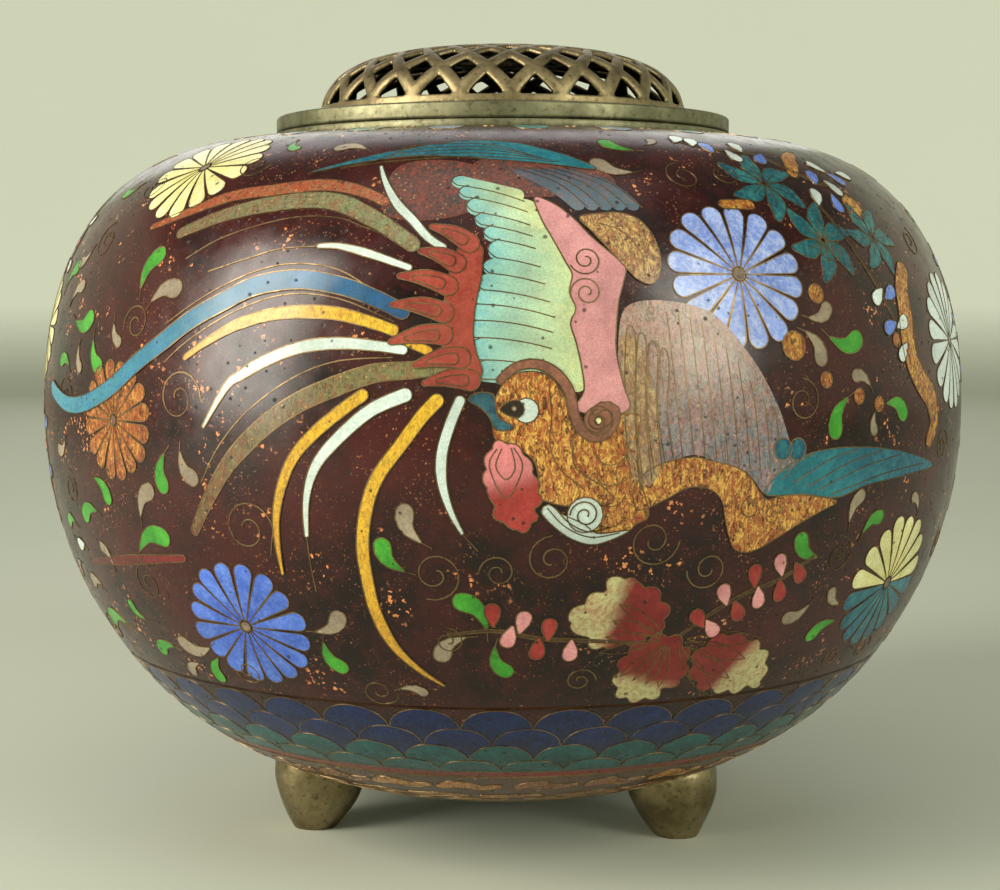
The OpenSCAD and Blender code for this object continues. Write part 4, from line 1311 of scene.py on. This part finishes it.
def feet():
    """Bulbs on small pads, leaning with the pad outwards, their tops sunk under the glaze."""
    side = bezier([(PAD_R, 0), (PAD_R + 1.5, 2.2), (FOOT_R, 4.6), (FOOT_R, 8.5)], np.linspace(0, 1, 22))
    profile = [(0.01, 0.35), (PAD_R * 0.6, 0.32), *side, (FOOT_R, 10), (FOOT_R, 11.5)]
    rows, n = len(profile), FOOT_SIDES
    faces = [(i * n + j, i * n + k, (i + 1) * n + k, (i + 1) * n + j)
             for i in range(rows - 1) for j, k in ((j, (j + 1) % n) for j in range(n))]
    faces += [tuple(reversed(range(n))), tuple((rows - 1) * n + j for j in range(n))]
    cos, sin = math.cos(FOOT_LEAN), math.sin(FOOT_LEAN)
    underside = OUTLINE[:len(steps)].T
    for node in ("front_left_foot", "front_right_foot", "rear_foot"):
        co = np.array([v.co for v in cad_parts[node].data.vertices]) / MM
        pad = co[co[:, 2] < 0.05].mean(axis=0)
        turn, reach = math.atan2(pad[0], -pad[1]), math.hypot(pad[0], pad[1])
        points = []
        for r, h in profile:
            for j in range(n):
                t = 2 * math.pi * j / n
                lump = 1 + FOOT_LUMP * math.sin(3 * t + h)
                x, y = r * lump * math.cos(t), r * lump * math.sin(t)
                y, z = y * cos + h * sin - reach, -y * sin + h * cos - 0.4
                under = np.interp(math.hypot(x, y), *underside, left=BASE_Z)
                z = min(max(z, 0.0), under + FOOT_SUNK)
                x, y = x * math.cos(turn) - y * math.sin(turn), x * math.sin(turn) + y * math.cos(turn)
                points.append((x, y, z))
        points = np.array(points) * MM
        mesh_piece(node + "_bulb", points, faces, FOOT_METAL, "vessel", 70, [node])


# ---------------------------------------------------------------- camera, light and floor

CAMERA_TURN, CAMERA_AWAY, CAMERA_Z, CAMERA_DOWN = 5.0, 248.8, 71.98, 5.3
LENS, SHIFT = 66.58, -0.0028


def camera():
    data = bpy.data.cameras.new("camera")
    data.lens, data.sensor_width, data.shift_x = LENS, 36, SHIFT
    data.clip_start, data.clip_end = 0.01, 20
    made = bpy.data.objects.new("camera", data)
    turn, down = CAMERA_TURN * DEGREE, CAMERA_DOWN * DEGREE
    made.location = Vector((CAMERA_AWAY * math.sin(turn), -CAMERA_AWAY * math.cos(turn), CAMERA_Z)) * MM
    ahead = Vector((-math.sin(turn) * math.cos(down), math.cos(turn) * math.cos(down), -math.sin(down)))
    made.rotation_euler = ahead.to_track_quat("-Z", "Y").to_euler()
    bpy.context.scene.collection.objects.link(made)
    bpy.context.scene.camera = made


# Softboxes: turn and rise in degrees, distance, width and height in metres, watts, tint
SOFTBOXES = {
    "window_left": (-56, 21, 0.6, 0.27, 0.46, 4.8, (1, 0.96, 0.86)),
    "window_right": (52, 23, 0.6, 0.18, 0.36, 1.6, (0.98, 1, 0.88)),
    "overhead": (10, 74, 0.7, 0.6, 0.6, 0.8, (1, 1, 0.92)),
    "back_fill": (190, 30, 0.8, 0.6, 0.5, 1.0, (1, 1, 1)),
}
WORLD_LIGHT = 0.2
FLOOR_FLAT, WALL_R, WALL_H = 0.9, 1.5, 0.9    # metres
FLOOR_SIDES = 96


def softbox(name, turn, rise, away, width, height, power, tint):
    """A soft area light round the object, aimed at the body's middle."""
    data = bpy.data.lights.new(name, "AREA")
    data.shape, data.size, data.size_y, data.energy, data.color = "RECTANGLE", width, height, power, tint
    made = bpy.data.objects.new(name, data)
    turn, rise = turn * DEGREE, rise * DEGREE
    back = Vector((math.sin(turn) * math.cos(rise), -math.cos(turn) * math.cos(rise), math.sin(rise)))
    made.location = Vector((0, 0, WIDEST_Z * MM)) + back * away
    made.rotation_euler = (-back).to_track_quat("-Z", "Y").to_euler()
    bpy.context.scene.collection.objects.link(made)


def studio():
    """A pale floor that curves up into a wall all round, and soft light."""
    curve = [(FLOOR_FLAT + (WALL_R - FLOOR_FLAT) * math.sin(t), WALL_H * (1 - math.cos(t)))
             for t in np.linspace(0, math.pi / 2, 14)]
    profile = [(0.001, 0), (FLOOR_FLAT / 2, 0), *curve]
    n = FLOOR_SIDES
    points = [(r * math.cos(2 * math.pi * j / n), r * math.sin(2 * math.pi * j / n), z)
              for r, z in profile for j in range(n)]
    faces = [((i + 1) * n + j, (i + 1) * n + k, i * n + k, i * n + j)
             for i in range(len(profile) - 1) for j, k in ((j, (j + 1) % n) for j in range(n))]
    mesh = bpy.data.meshes.new("studio_floor")
    mesh.from_pydata(points, [], faces)
    mesh.polygons.foreach_set("use_smooth", [True] * len(mesh.polygons))
    mesh.materials.append(plain_floor())
    floor = bpy.data.objects.new("studio_floor", mesh)
    bpy.context.scene.collection.objects.link(floor)
    for name, values in SOFTBOXES.items():
        softbox(name, *values)
    world = bpy.data.worlds.new("room")
    world.use_nodes = True
    background = world.node_tree.nodes["Background"].inputs
    background["Color"].default_value = rgb(226, 230, 218)
    background["Strength"].default_value = WORLD_LIGHT
    bpy.context.scene.world = world
    bpy.context.scene.view_settings.view_transform = "Standard"


camera()
studio()
glazes()
scale_borders()
scroll_border()
neck_lappets()
main_design()
rim_and_flange()
lattice()
feet()
